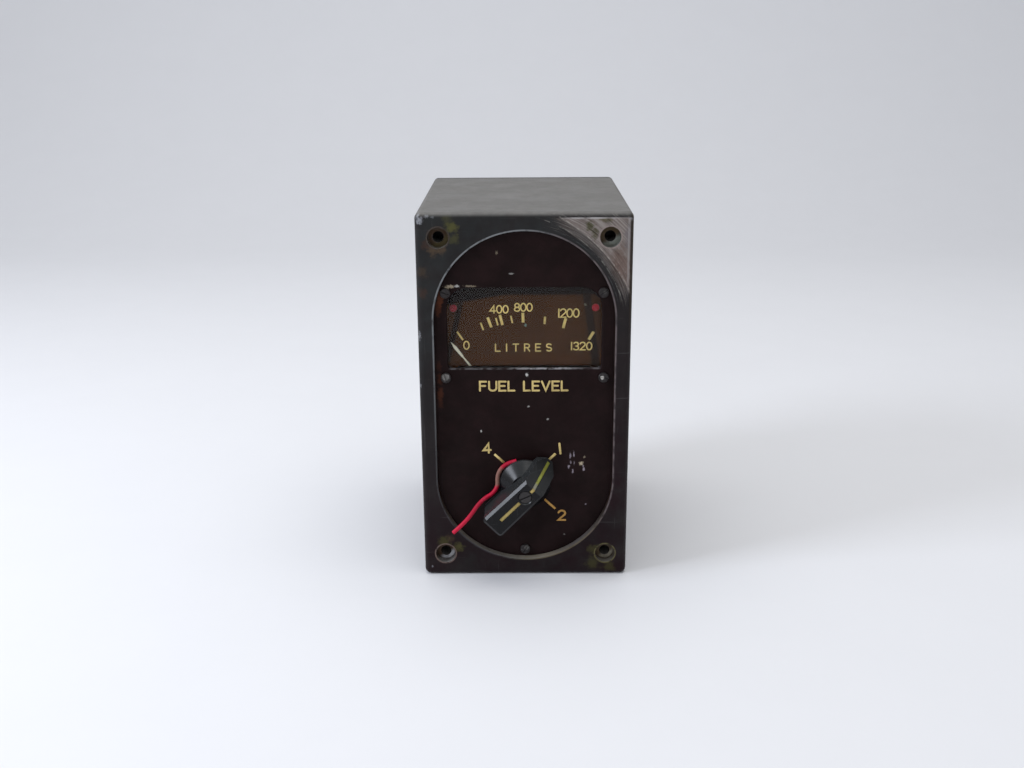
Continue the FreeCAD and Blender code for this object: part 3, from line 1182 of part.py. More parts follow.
def selector_knob():
    hub_points = [Vector(0, KNOB_BASE, 0), Vector(KNOB_SKIRT_RADIUS, KNOB_BASE, 0),
                  Vector(KNOB_SKIRT_RADIUS, KNOB_RIM_TOP, 0),
                  Vector(KNOB_HUB_RADIUS, KNOB_HUB_TOP, 0), Vector(0, KNOB_HUB_TOP, 0)]
    hub = Part.Face(Part.makePolygon(hub_points + hub_points[:1])).revolve(
        Vector(0, 0, 0), Vector(0, 1, 0), FULL_TURN)
    rims = (KNOB_RIM_TOP, KNOB_HUB_TOP)
    rim = [e for e in hub.Edges if e.BoundBox.XLength > 1.0 and e.BoundBox.YLength < 1e-6
           and min(abs(e.BoundBox.YMax - y) for y in rims) < 1e-6]
    hub = hub.makeFillet(KNOB_HUB_EDGE, rim)
    knob = hub.fuse(knob_bar()).removeSplitter()
    cuts = [rod(0, 0, KNOB_BASE - KNOB_RECESS_DEPTH, KNOB_BASE, KNOB_RECESS_RADIUS),
            rod(0, 0, KNOB_TOP + KNOB_BORE_FLOOR, KNOB_BASE, SHAFT_RADIUS),
            rod(0, 0, KNOB_TOP, KNOB_TOP + KNOB_SCREW_SINK + KNOB_SCREW_HEAD, KNOB_SCREW_RADIUS),
            Part.makeCone(KNOB_SCREW_RADIUS + KNOB_SCREW_FLARE, KNOB_SCREW_RADIUS, KNOB_SCREW_SINK,
                          Vector(0, KNOB_TOP, 0), Vector(0, 1, 0)),
            rod(0, 0, KNOB_TOP, KNOB_TOP + KNOB_BORE_FLOOR, KNOB_SCREW_SHANK)]
    half = INDEX_WIDTH / 2
    cuts.append(block(-INDEX_TAIL_END, -INDEX_START, KNOB_TOP, KNOB_TOP + INDEX_DEPTH, -half, half))
    front_end = KNOB_BEND + INDEX_PAST_BEND
    cuts.append(block(INDEX_START, front_end, KNOB_TOP, KNOB_TOP + INDEX_DEPTH, -half, half))
    run, drop = KNOB_NOSE - KNOB_BEND, KNOB_BASE - KNOB_TOP
    length = math.hypot(run, drop)
    nose_line = block(0, length - INDEX_NOSE_STOP, 0, INDEX_DEPTH, -half, half)
    nose_line.rotate(Vector(0, 0, 0), Vector(0, 0, 1), math.degrees(math.atan2(drop, run)))
    nose_line.translate(Vector(KNOB_BEND, KNOB_TOP, 0))
    cuts.append(nose_line)
    return turned_to_tank_one(knob.cut(cuts))


def knob_screw():
    seat = KNOB_TOP + KNOB_SCREW_SINK + KNOB_SCREW_HEAD
    screw = slotted_screw(0, 0, seat, KNOB_SCREW_RADIUS, KNOB_SCREW_HEAD, KNOB_SCREW_SHANK,
                          KNOB_BORE_FLOOR - KNOB_SCREW_SINK - KNOB_SCREW_HEAD + KNOB_SCREW_DEPTH,
                          KNOB_SLOT_ANGLE)
    return turned_to_tank_one(screw)


def lead_path(points):
    """Straight runs joined by tangent arcs. Returns the wire, its length and its radii."""
    vectors = [Vector(*p) for p in points]
    edges, radii = [], []
    start = vectors[0]
    for before, corner, after in zip(vectors, vectors[1:], vectors[2:]):
        back, ahead = (before - corner), (after - corner)
        trim = LEAD_BEND_SHARE * min(back.Length, ahead.Length)
        turn = math.pi - back.getAngle(ahead)
        radii.append(trim / math.tan(turn / 2))
        back.normalize()
        ahead.normalize()
        first, last = corner + back * trim, corner + ahead * trim
        inward = (back + ahead).normalize()
        middle = corner + inward * (radii[-1] / math.cos(turn / 2) - radii[-1])
        edges.append(Part.LineSegment(start, first).toShape())
        edges.append(Part.Arc(first, middle, last).toShape())
        start = last
    edges.append(Part.LineSegment(start, vectors[-1]).toShape())
    wire = Part.Wire(edges)
    return wire, wire.Length, radii


def tube_along(points, radius):
    wire, length, radii = lead_path(points)
    way = Vector(*points[1]) - Vector(*points[0])
    profile = Part.Wire(Part.Circle(Vector(*points[0]), way, radius).toShape())
    tube = wire.makePipeShell([profile], True, False)
    expected = math.pi * radius ** 2 * length
    print("tube length %.2f, volume %.3f of %.3f, radii %s"
          % (length, tube.Volume, expected, " ".join("%.1f" % r for r in radii)))
    return tube


def wiring_loom():
    """Wires from the connector, bundled, up and over to the component board."""
    start_y, rise_y = connector_rear(), (connector_rear() + BOARD_BACK) / 2
    low_z, short = CONNECTOR_Z + PIN_RING_RADIUS / 2, LOOM_BEND * (1 - math.sqrt(0.5))
    start = Vector(0, start_y, low_z)
    bend_1 = [Vector(0, rise_y + LOOM_BEND, low_z), Vector(0, rise_y + short, low_z + short),
              Vector(0, rise_y, low_z + LOOM_BEND)]
    bend_2 = [Vector(0, rise_y, LOOM_RISE - LOOM_BEND), Vector(0, rise_y - short, LOOM_RISE - short),
              Vector(0, rise_y - LOOM_BEND, LOOM_RISE)]
    end = Vector(0, BOARD_BACK, LOOM_RISE)
    wire = Part.Wire([
        Part.LineSegment(start, bend_1[0]).toShape(), Part.Arc(*bend_1).toShape(),
        Part.LineSegment(bend_1[2], bend_2[0]).toShape(), Part.Arc(*bend_2).toShape(),
        Part.LineSegment(bend_2[2], end).toShape(),
    ])
    profile = Part.Wire(Part.Circle(start, Vector(0, 1, 0), LOOM_RADIUS).toShape())
    return wire.makePipeShell([profile], True, False)


def connector_rear():
    return COVER_FRONT - CONNECTOR_REAR


def rear_gasket():
    half_height = CASE_HEIGHT / 2 - REAR_GASKET_INSET
    outer = panel(CASE_WIDTH / 2 - REAR_GASKET_INSET, -half_height, half_height,
                  CASE_DEPTH, COVER_FRONT, CASE_EDGE_RADIUS, CASE_EDGE_RADIUS)
    inner_width = CASE_WIDTH / 2 - CASE_WALL
    inner_height = CASE_HEIGHT / 2 - CASE_WALL
    inner = panel(inner_width, -inner_height, inner_height, CASE_DEPTH, COVER_FRONT, CASE_WALL, CASE_WALL)
    pads = group([rod(x, z, CASE_DEPTH, COVER_FRONT, COVER_BOSS_RADIUS)
                  for x, z in cover_screw_points()]).common(outer)
    holes = [rod(x, z, CASE_DEPTH, COVER_FRONT, COVER_SCREW_RADIUS) for x, z in cover_screw_points()]
    return join([outer.cut(inner)] + pads.Solids).cut(holes)


def rear_cover():
    solid = panel(CASE_WIDTH / 2, -CASE_HEIGHT / 2, CASE_HEIGHT / 2, COVER_FRONT, COVER_BACK,
                  CASE_EDGE_RADIUS, CASE_EDGE_RADIUS)
    rim = [e for e in solid.Edges if e.BoundBox.YMin > COVER_BACK - 1e-6]
    solid = solid.makeFillet(COVER_RIM_RADIUS, rim)
    cuts = [rod(x, z, COVER_FRONT, COVER_BACK, COVER_SCREW_RADIUS) for x, z in cover_screw_points()]
    barrel_hole = CONNECTOR_BARREL_RADIUS + CONNECTOR_HOLE_CLEARANCE
    cuts.append(rod(0, CONNECTOR_Z, COVER_FRONT, COVER_BACK, barrel_hole))
    cuts += [rod(x, z, COVER_FRONT, COVER_BACK, COVER_SCREW_RADIUS) for x, z in connector_screw_points()]
    return solid.cut(cuts)


def cover_screws():
    return group([slotted_screw(x, z, COVER_BACK, PAN_HEAD_RADIUS, PAN_HEAD_HEIGHT, COVER_SCREW_RADIUS,
                                COVER_SCREW_LENGTH, COVER_SCREW_TURN * k, facing=1)
                  for k, (x, z) in enumerate(cover_screw_points())])


def connector_screw_points():
    half = CONNECTOR_HOLE_SPACING / 2
    return [(sx * half, CONNECTOR_Z + sz * half) for sx, sz in CORNERS]


def connector_shell():
    """Square flange with a round shell behind the case and a shorter barrel inside it."""
    half = CONNECTOR_FLANGE / 2
    flange_back = COVER_BACK + CONNECTOR_FLANGE_THICKNESS
    flange = panel(half, CONNECTOR_Z - half, CONNECTOR_Z + half, COVER_BACK, flange_back,
                   CONNECTOR_FLANGE_CORNER, CONNECTOR_FLANGE_CORNER)
    mouth = COVER_BACK + CONNECTOR_LENGTH
    shell = rod(0, CONNECTOR_Z, flange_back, mouth, CONNECTOR_RADIUS)
    barrel_end = connector_rear() + CONNECTOR_BARREL_STEP
    barrel = rod(0, CONNECTOR_Z, barrel_end, COVER_BACK, CONNECTOR_BARREL_RADIUS)
    whole = join([flange, shell, barrel])
    cuts = [rod(0, CONNECTOR_Z, barrel_end, mouth, CONNECTOR_BORE)]
    cuts.append(block(-KEYWAY_WIDTH / 2, KEYWAY_WIDTH / 2, insert_face(), mouth,
                      CONNECTOR_Z, CONNECTOR_Z + CONNECTOR_BORE + KEYWAY_DEPTH))
    cuts += [rod(x, z, COVER_BACK, flange_back, COVER_SCREW_RADIUS) for x, z in connector_screw_points()]
    return whole.cut(cuts)


def insert_face():
    return COVER_BACK + CONNECTOR_LENGTH - CONNECTOR_INSERT_DEPTH


def pin_points():
    turns = [math.radians(FULL_TURN / PIN_RING_COUNT * k) for k in range(PIN_RING_COUNT)]
    points = [(PIN_RING_RADIUS * math.sin(turn), CONNECTOR_Z + PIN_RING_RADIUS * math.cos(turn))
              for turn in turns]
    return points + [(-PIN_CENTRE_OFFSET, CONNECTOR_Z), (PIN_CENTRE_OFFSET, CONNECTOR_Z)]


def connector_insert():
    insert = rod(0, CONNECTOR_Z, connector_rear(), insert_face(), CONNECTOR_BORE)
    return insert.cut([rod(x, z, connector_rear(), insert_face(), PIN_RADIUS) for x, z in pin_points()])


def connector_pins():
    pins = []
    for x, z in pin_points():
        tip = insert_face() + PIN_LENGTH
        pin = rod(x, z, connector_rear() - PIN_REAR, tip, PIN_RADIUS)
        end = [e for e in pin.Edges if e.BoundBox.YMin > tip - 1e-6]
        pins.append(pin.makeFillet(PIN_TIP_ROUND, end))
    return group(pins)


def connector_screws():
    seat = COVER_BACK + CONNECTOR_FLANGE_THICKNESS
    return group([slotted_screw(x, z, seat, CONNECTOR_SCREW_HEAD_RADIUS, CONNECTOR_SCREW_HEAD_HEIGHT,
                                COVER_SCREW_RADIUS, CONNECTOR_FLANGE_THICKNESS + COVER_THICKNESS,
                                CONNECTOR_SCREW_TURN * k, facing=1)
                  for k, (x, z) in enumerate(connector_screw_points())])


def build():
    nodes["case_housing"] = case_housing()
    nodes["front_plate"] = front_plate()
    nodes["plate_gasket"] = plate_gasket()
    nodes["plate_screws"] = plate_screws()
    nodes["window_glass"] = glass_outline(PLATE_BACK - GLASS_THICKNESS, PLATE_BACK, GLASS_EDGE_GAP)
    nodes["glass_seal"] = glass_seal()
    nodes["glass_clamps"] = glass_clamps()
    nodes["clamp_screws"] = clamp_screws()
    nodes["dial_plate"] = dial_plate()
    nodes["dial_screws_red"] = dial_screws(DIAL_SCREW_TOP_Z)
    nodes["dial_screws_lower"] = dial_screws(DIAL_SCREW_LOW_Z)
    nodes["dial_posts"] = dial_posts()
    nodes["pointer_stops"] = pointer_stops()
    nodes["pointer_blade"] = pointer_blade()
    nodes["pointer_hub"] = pointer_hub()
    nodes["pointer_staff"] = pointer_staff()
    nodes["rotor_magnet"] = rotor_magnet()
    nodes["front_bearing"] = front_bearing()
    nodes["rear_bearing"] = rear_bearing()
    nodes["damping_can"] = damping_can()
    nodes["movement_yoke"] = movement_yoke()
    nodes["coil_bobbins"] = coil_bobbins()
    nodes["coil_windings"] = coil_windings()
    nodes["movement_pillars"] = movement_pillars()
    nodes["bridge_nuts"] = bridge_nuts()
    nodes["rear_bridge"] = rear_bridge()
    nodes["return_magnet"] = return_magnet()
    nodes["chassis_plate"] = chassis_plate()
    nodes["chassis_screws"] = chassis_screws()
    nodes["chassis_pillars"] = chassis_pillars()
    nodes["rear_chassis_plate"] = rear_chassis_plate()
    nodes["board_spacers"] = board_spacers()
    nodes["component_board"] = component_board()
    nodes["resistors"] = resistors()
    nodes["trimmers"] = trimmers()
    nodes["selector_bushing"] = selector_bushing()
    nodes["bushing_washer"] = bushing_washer()
    nodes["bushing_nut"] = bushing_nut()
    nodes["switch_frame"] = switch_frame()
    nodes["detent_wheel"] = detent_wheel()
    nodes["detent_ball"] = detent_ball()
    nodes["detent_spring"] = detent_spring()
    nodes["selector_shaft"] = selector_shaft()
    nodes["tie_rods"] = tie_rods()
    nodes["tie_rod_nuts"] = tie_rod_nuts()
    nodes["wafer_spacers"] = wafer_spacers()
    nodes["switch_wafers"] = switch_wafers()
    nodes["switch_contacts"] = switch_contacts()
    nodes["switch_rotors"] = switch_rotors()
    nodes["selector_knob"] = selector_knob()
    nodes["knob_screw"] = knob_screw()
    nodes["red_lead"] = tube_along(LEAD_ROUTE, LEAD_RADIUS)
    nodes["wiring_loom"] = wiring_loom()
    nodes["rear_gasket"] = rear_gasket()
    nodes["rear_cover"] = rear_cover()
    nodes["cover_screws"] = cover_screws()
    nodes["connector_shell"] = connector_shell()
    nodes["connector_insert"] = connector_insert()
    nodes["connector_pins"] = connector_pins()
    nodes["connector_screws"] = connector_screws()


build()
os.makedirs("parts", exist_ok=True)
for name, shape in nodes.items():
    print("%-20s solids %2d valid %s volume %9.1f" % (name, len(shape.Solids), shape.isValid(), shape.Volume))
    shape.exportStep("parts/%s.step" % name)
print(len(nodes), "nodes")
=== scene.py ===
import math

import bmesh
import bpy
from bpy.props import FloatProperty, FloatVectorProperty, PointerProperty
from mathutils import Matrix, Vector


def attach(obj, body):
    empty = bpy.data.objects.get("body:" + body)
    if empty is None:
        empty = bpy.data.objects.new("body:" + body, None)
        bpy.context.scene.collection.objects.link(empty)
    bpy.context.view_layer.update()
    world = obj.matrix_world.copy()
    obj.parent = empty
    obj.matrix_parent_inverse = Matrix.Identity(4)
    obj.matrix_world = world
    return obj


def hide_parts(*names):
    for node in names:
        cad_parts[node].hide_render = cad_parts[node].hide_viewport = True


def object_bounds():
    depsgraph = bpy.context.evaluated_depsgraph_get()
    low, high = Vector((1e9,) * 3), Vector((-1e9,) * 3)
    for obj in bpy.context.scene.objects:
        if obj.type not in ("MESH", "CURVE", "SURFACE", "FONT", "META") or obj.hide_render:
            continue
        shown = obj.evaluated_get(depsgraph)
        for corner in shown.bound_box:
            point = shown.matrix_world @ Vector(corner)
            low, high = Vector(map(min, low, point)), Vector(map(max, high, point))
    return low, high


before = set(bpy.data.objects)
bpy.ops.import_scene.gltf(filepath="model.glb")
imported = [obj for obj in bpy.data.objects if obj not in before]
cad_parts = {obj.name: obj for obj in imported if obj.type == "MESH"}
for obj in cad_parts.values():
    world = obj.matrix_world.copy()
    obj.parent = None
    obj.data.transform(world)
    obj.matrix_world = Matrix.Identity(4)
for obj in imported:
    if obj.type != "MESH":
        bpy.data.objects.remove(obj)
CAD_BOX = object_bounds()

bl_info = {
    "name": "Fuel quantity indicator",
    "version": (1, 0, 0),
    "blender": (4, 5, 0),
    "location": "View3D > Sidebar > Indicator",
    "description": "Dresses the packed panel indicator: finishes, dial and plate markings, lead and stage",
    "category": "Object",
}

# Everything is in metres, in the frame of the CAD: X right seen from the front,
# +Y into the case, +Z up, the bezel's front face at y = 0.

MM = 0.001
EVEN = (1.0, 1.0, 1.0)
# How far a filled mark reaches below the surface
SUNK = 0.00004

# Places on the object that the markings and the wear follow
PLATE_Y = 0.00275
DIAL_Y = 0.0089
SELECTOR_AXIS = Vector((0.0, 0.0, -0.0345))
KNOB_TURN = math.radians(45.0)
KNOB_TOP_Y = -0.0146
KNOB_BEND = 0.0046
KNOB_NOSE = 0.0142
KNOB_BASE_Y = 0.00035
MOUNT_X = 0.03255
MOUNT_Z = 0.0651
RIM_ARC_Z = 0.0325
RIM_RADIUS = 0.035

# The lead's route, as in the part's source
LEAD_ROUTE = [
    (-0.0034, 0.0015, -0.0252), (-0.0069, 0.0013, -0.0260), (-0.0099, 0.0009, -0.0284),
    (-0.0112, 0.0003, -0.0316), (-0.0109, -0.0006, -0.0350), (-0.0128, -0.0016, -0.0379),
    (-0.0162, -0.0023, -0.0397), (-0.0189, -0.0028, -0.0423), (-0.0211, -0.0031, -0.0456),
    (-0.0235, -0.0032, -0.0488), (-0.0264, -0.0033, -0.0518), (-0.0291, -0.0034, -0.0543),
]

# The camera of the photograph: its place, and pitch, yaw and roll in degrees
CAMERA_PLACE = (-0.0011, -0.4245, 0.1400)
CAMERA_ANGLES = (17.33, -0.52, -0.41)

# Dial marks: (outer x, outer z, inner x, inner z, width) in millimetres
DIAL_TICKS = [
    (-26.5, 26.5, -24.2, 23.1, 0.75),
    (-17.2, 30.1, -16.1, 27.1, 0.65),
    (-14.4, 32.2, -13.0, 28.2, 1.05),
    (-11.2, 32.0, -10.4, 29.0, 0.65),
    (-9.6, 33.2, -8.6, 29.1, 1.05),
    (-5.3, 32.8, -4.7, 29.9, 0.65),
    (-0.6, 34.0, -0.5, 30.1, 1.1),
    (8.1, 32.4, 7.9, 29.4, 0.85),
    (16.2, 31.7, 15.2, 27.7, 1.1),
    (27.2, 26.2, 25.3, 23.0, 1.15),
]
# Words and numbers: (text, left, right, baseline, height) in millimetres
DIAL_WORDS = [
    ("400", -13.7, -6.1, 33.7, 3.5),
    ("800", -4.1, 3.3, 34.4, 3.6),
    ("1200", 13.0, 21.6, 31.9, 3.8),
    ("1320", 18.1, 26.8, 18.6, 3.6),
    ("0", -24.2, -21.9, 19.1, 3.7),
    ("LITRES", -11.7, 10.9, 18.2, 3.4),
]
PLATE_WORDS = [("FUEL LEVEL", -18.0, 17.3, 3.55, 4.5)]
# Tank numbers: (text, centre x, centre z, height, turn in degrees) in millimetres
TANK_WORDS = [
    ("4", -15.2, -20.2, 4.7, 2.0),
    ("1", 14.0, -20.5, 5.1, 6.0),
    ("2", 14.9, -49.5, 5.0, 0.0),
]
# Marks that point at the tank numbers: (outer x, outer z, inner x, inner z, width)
TANK_TICKS = [
    (-12.2, -22.8, -8.3, -26.5, 0.95),
    (12.3, -22.6, 9.6, -25.3, 1.0),
    (12.3, -46.6, 7.7, -42.2, 0.9),
]

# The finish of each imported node, by group of pieces
PIECES = {
    "case": {"case_housing": "case_paint", "rear_cover": "rear_paint", "rear_gasket": "gasket_rubber",
             "cover_screws": "blackened_steel"},
    "face": {"front_plate": "plate_paint", "plate_gasket": "gasket_rubber", "plate_screws": "plate_screw"},
    "window": {"window_glass": "window_glass", "glass_seal": "gasket_rubber",
               "glass_clamps": "blackened_steel", "clamp_screws": "zinc_steel"},
    "dial": {"dial_plate": "dial_paint", "dial_screws_red": "red_lacquer",
             "dial_screws_lower": "blackened_steel", "dial_posts": "brass", "pointer_stops": "brass",
             "pointer_blade": "pointer_white", "pointer_hub": "brass"},
    "movement": {"front_bearing": "brass", "rear_bearing": "brass", "damping_can": "copper",
                 "movement_yoke": "soft_iron", "coil_bobbins": "bobbin_plastic",
                 "coil_windings": "enamel_wire", "movement_pillars": "brass", "bridge_nuts": "brass",
                 "rear_bridge": "brass", "return_magnet": "magnet_alloy", "pointer_staff": "bright_steel",
                 "rotor_magnet": "magnet_alloy"},
    "chassis": {"chassis_plate": "aluminium", "chassis_screws": "zinc_steel", "chassis_pillars": "aluminium",
                "rear_chassis_plate": "aluminium", "board_spacers": "zinc_steel"},
    "knob": {"selector_knob": "knob_black", "knob_screw": "blackened_steel",
             "selector_bushing": "nickel_brass", "bushing_washer": "zinc_steel",
             "bushing_nut": "nickel_brass", "selector_shaft": "zinc_steel"},
    "switch": {"switch_frame": "zinc_steel", "detent_ball": "bright_steel", "detent_spring": "bright_steel",
               "tie_rods": "zinc_steel", "tie_rod_nuts": "zinc_steel", "wafer_spacers": "aluminium",
               "switch_wafers": "laminate", "switch_contacts": "contact_silver",
               "detent_wheel": "bright_steel", "switch_rotors": "laminate"},
    "wiring": {"component_board": "laminate", "resistors": "resistor_ceramic", "trimmers": "trimmer_body",
               "wiring_loom": "loom_wrap"},
    "connector": {"connector_shell": "connector_plate", "connector_insert": "insert_rubber",
                  "connector_pins": "pin_gold", "connector_screws": "zinc_steel"},
}


# Node building

class Value:
    """A node's output, so that a finish can be written in plain sums and products."""

    def __init__(self, tree, socket):
        self.tree = tree
        self.socket = socket

    def __add__(self, other):
        return maths("ADD", self, other)

    def __radd__(self, other):
        return maths("ADD", other, self)

    def __sub__(self, other):
        return maths("SUBTRACT", self, other)

    def __rsub__(self, other):
        return maths("SUBTRACT", other, self)

    def __mul__(self, other):
        return maths("MULTIPLY", self, other)

    def __truediv__(self, other):
        return maths("DIVIDE", self, other)

    def __rtruediv__(self, other):
        return maths("DIVIDE", other, self)

    def __abs__(self):
        return maths("ABSOLUTE", self)

    def clamped(self):
        """Holds the sum that this output comes from between 0 and 1."""
        self.socket.node.use_clamp = True
        return self


class Made:
    """A node in its tree, whose outputs are asked for by name or number."""

    def __init__(self, tree, added):
        self.tree = tree
        self.added = added

    def __getitem__(self, key):
        return Value(self.tree, self.added.outputs[key])


def feed(tree, socket, value):
    """Links a value to a socket, or sets the socket to a number, a place or a colour."""
    if isinstance(value, Value):
        tree.links.new(value.socket, socket)
    elif socket.type == "RGBA" and len(value) == 3:
        socket.default_value = (*value, 1.0)
    else:
        socket.default_value = value


def node(tree, kind, inputs=None, **settings):
    """Adds a node with its settings and feeds its inputs."""
    added = tree.nodes.new(kind)
    for name, value in settings.items():
        setattr(added, name, value)
    for key, value in (inputs or {}).items():
        feed(tree, added.inputs[key], value)
    return Made(tree, added)


def maths(operation, first, second=0.0):
    tree = first.tree if isinstance(first, Value) else second.tree
    return node(tree, "ShaderNodeMath", {0: first, 1: second}, operation=operation)[0]


def span(value, low, high, to_low=0.0, to_high=1.0):
    """A smooth step of a value between two limits."""
    return node(value.tree, "ShaderNodeMapRange",
                {"Value": value, "From Min": low, "From Max": high, "To Min": to_low, "To Max": to_high},
                interpolation_type="SMOOTHSTEP")[0]


def blend(factor, first, second):
    """Mixes two colours."""
    return node(factor.tree, "ShaderNodeMix", {0: factor, 6: first, 7: second}, data_type="RGBA")[2]


def noise(where, scale, detail=3.0, rough=0.55, distortion=0.0):
    return node(where.tree, "ShaderNodeTexNoise",
                {"Vector": where, "Scale": scale, "Detail": detail, "Roughness": rough,
                 "Distortion": distortion})["Fac"]


def stretched(where, scale, turn=(0.0, 0.0, 0.0)):
    """The same place, scaled and turned, for grain that runs one way."""
    return node(where.tree, "ShaderNodeMapping", {"Vector": where, "Scale": scale, "Rotation": turn})[0]


def vector(operation, first, second=None):
    inputs = {0: first} if second is None else {0: first, 1: second}
    return node(first.tree, "ShaderNodeVectorMath", inputs, operation=operation)


def split(where):
    """The X, Y and Z of a place."""
    return node(where.tree, "ShaderNodeSeparateXYZ", {0: where})


def joined(first, second):
    """A place whose X and Y are two values."""
    return node(first.tree, "ShaderNodeCombineXYZ", {0: first, 1: second})


# Shared effects, each a node group

FLOAT, VECTOR = "NodeSocketFloat", "NodeSocketVector"
# Distance, in patch sizes, at which a patch has faded out
BLOTCH_EDGE = 1.15


def new_group(name, inputs, outputs):
    """An empty group with its named sockets, its input node, and a call that takes its results."""
    group = bpy.data.node_groups.new(name, "ShaderNodeTree")
    for label, kind, default in inputs:
        socket = group.interface.new_socket(name=label, in_out="INPUT", socket_type=kind)
        if default is not None:
            socket.default_value = default
    for label, kind in outputs:
        group.interface.new_socket(name=label, in_out="OUTPUT", socket_type=kind)
    given = Made(group, group.nodes.new("NodeGroupInput"))
    out = group.nodes.new("NodeGroupOutput")

    def give(**results):
        for label, value in results.items():
            feed(group, out.inputs[label], value)
    return group, given, give


def grain_group():
    """Fine orange peel of a sprayed or cast skin, with slow changes of shade."""
    group, given, give = new_group(
        "Skin Grain",
        [("Place", VECTOR, None), ("Scale", FLOAT, 900.0)],
        [("Height", FLOAT), ("Mottle", FLOAT)])
    place, scale = given["Place"], given["Scale"]
    fine = noise(place, scale, 2.0, 0.5)
    slow = noise(place, scale * 0.09, 4.0, 0.6)
    give(Height=fine * 0.7 + slow * 0.5, Mottle=span(slow, 0.32, 0.68))
    return group


def edge_group():
    """Wear along convex edges, broken up by noise."""
    group, given, give = new_group(
        "Edge Wear",
        [("Place", VECTOR, None), ("Width", FLOAT, 0.0004),
         ("Amount", FLOAT, 0.5), ("Scale", FLOAT, 300.0)],
        [("Mask", FLOAT)])
    rounded = node(group, "ShaderNodeBevel", {"Radius": given["Width"]}, samples=4)
    flat = node(group, "ShaderNodeNewGeometry")
    bend = 1.0 - vector("DOT_PRODUCT", rounded[0], flat["Normal"])["Value"]
    ragged = noise(given["Place"], given["Scale"], 4.0, 0.65)
    kept = span(ragged, 0.62, 0.38)
    give(Mask=(span(bend, 0.02, 0.16) * kept * given["Amount"]).clamped())
    return group


def blotch_group():
    """One ragged patch or chip round a given point, measured across the face."""
    group, given, give = new_group(
        "Blotch",
        [("Place", VECTOR, None), ("Centre", VECTOR, None),
         ("Stretch", VECTOR, None),
         ("Size", FLOAT, 0.001), ("Ragged", FLOAT, 0.5),
         ("Soft", FLOAT, 0.45)],
        [("Mask", FLOAT)])
    offset = vector("SUBTRACT", given["Place"], given["Centre"])[0]
    offset = vector("MULTIPLY", offset, given["Stretch"])[0]
    share = vector("LENGTH", offset)["Value"] / given["Size"]
    ragged = noise(given["Place"], 1.1 / given["Size"], 4.0, 0.65)
    share = share + (ragged - 0.5) * given["Ragged"] * 3.0
    give(Mask=span(share, BLOTCH_EDGE, BLOTCH_EDGE - given["Soft"]))
    return group


def scratch_group():
    """Fine straight scratches that run one way."""
    group, given, give = new_group(
        "Scratches",
        [("Place", VECTOR, None), ("Scale", FLOAT, 60.0),
         ("Amount", FLOAT, 0.5)],
        [("Mask", FLOAT)])
    lines = noise(stretched(given["Place"], (1.0, 1.0, 22.0), (0.0, 0.5, 0.0)), given["Scale"], 3.0, 0.6)
    cross = noise(stretched(given["Place"], (26.0, 1.0, 1.0), (0.0, 0.2, 0.3)), given["Scale"], 3.0, 0.6)
    found = maths("MAXIMUM", span(lines, 0.64, 0.72), span(cross, 0.66, 0.74))
    give(Mask=found * given["Amount"])
    return group


def dust_group():
    """Dust that settles on faces turned up."""
    group, given, give = new_group(
        "Settled Dust",
        [("Place", VECTOR, None), ("Amount", FLOAT, 0.3)],
        [("Mask", FLOAT)])
    flat = node(group, "ShaderNodeNewGeometry")
    up = split(flat["Normal"])["Z"]
    cloud = noise(given["Place"], 420.0, 6.0, 0.7)
    mask = span(up, 0.2, 0.95) * span(cloud, 0.25, 0.75, 0.72, 1.0)
    give(Mask=mask * given["Amount"])
    return group


def rim_group():
    """Distance outside the oblong rim, and the angle round its nearer end."""
    group, given, give = new_group(
        "Oblong Rim",
        [("Place", VECTOR, None)],
        [("Outside", FLOAT), ("Angle", FLOAT), ("Depth", FLOAT)])
    parts = split(given["Place"])
    high = maths("MAXIMUM", abs(parts["Z"]) - RIM_ARC_Z, 0.0)
    reach = vector("LENGTH", joined(parts["X"], high)[0])["Value"]
    give(Outside=reach - RIM_RADIUS, Angle=maths("ARCTAN2", high, parts["X"]), Depth=parts["Y"])
    return group


def brushed_group():
    """Fine drawn or turned lines of worked metal."""
    group, given, give = new_group(
        "Worked Metal",
        [("Place", VECTOR, None), ("Scale", FLOAT, 400.0)],
        [("Height", FLOAT), ("Shade", FLOAT)])
    lines = noise(stretched(given["Place"], (1.0, 14.0, 1.0)), given["Scale"], 3.0, 0.6)
    cloud = noise(given["Place"], given["Scale"] * 0.3, 4.0, 0.6)
    give(Height=lines, Shade=(lines + cloud) * 0.5)
    return group


GROUP_MAKERS = {
    "Skin Grain": grain_group, "Edge Wear": edge_group, "Blotch": blotch_group,
    "Scratches": scratch_group, "Settled Dust": dust_group, "Oblong Rim": rim_group,
    "Worked Metal": brushed_group,
}


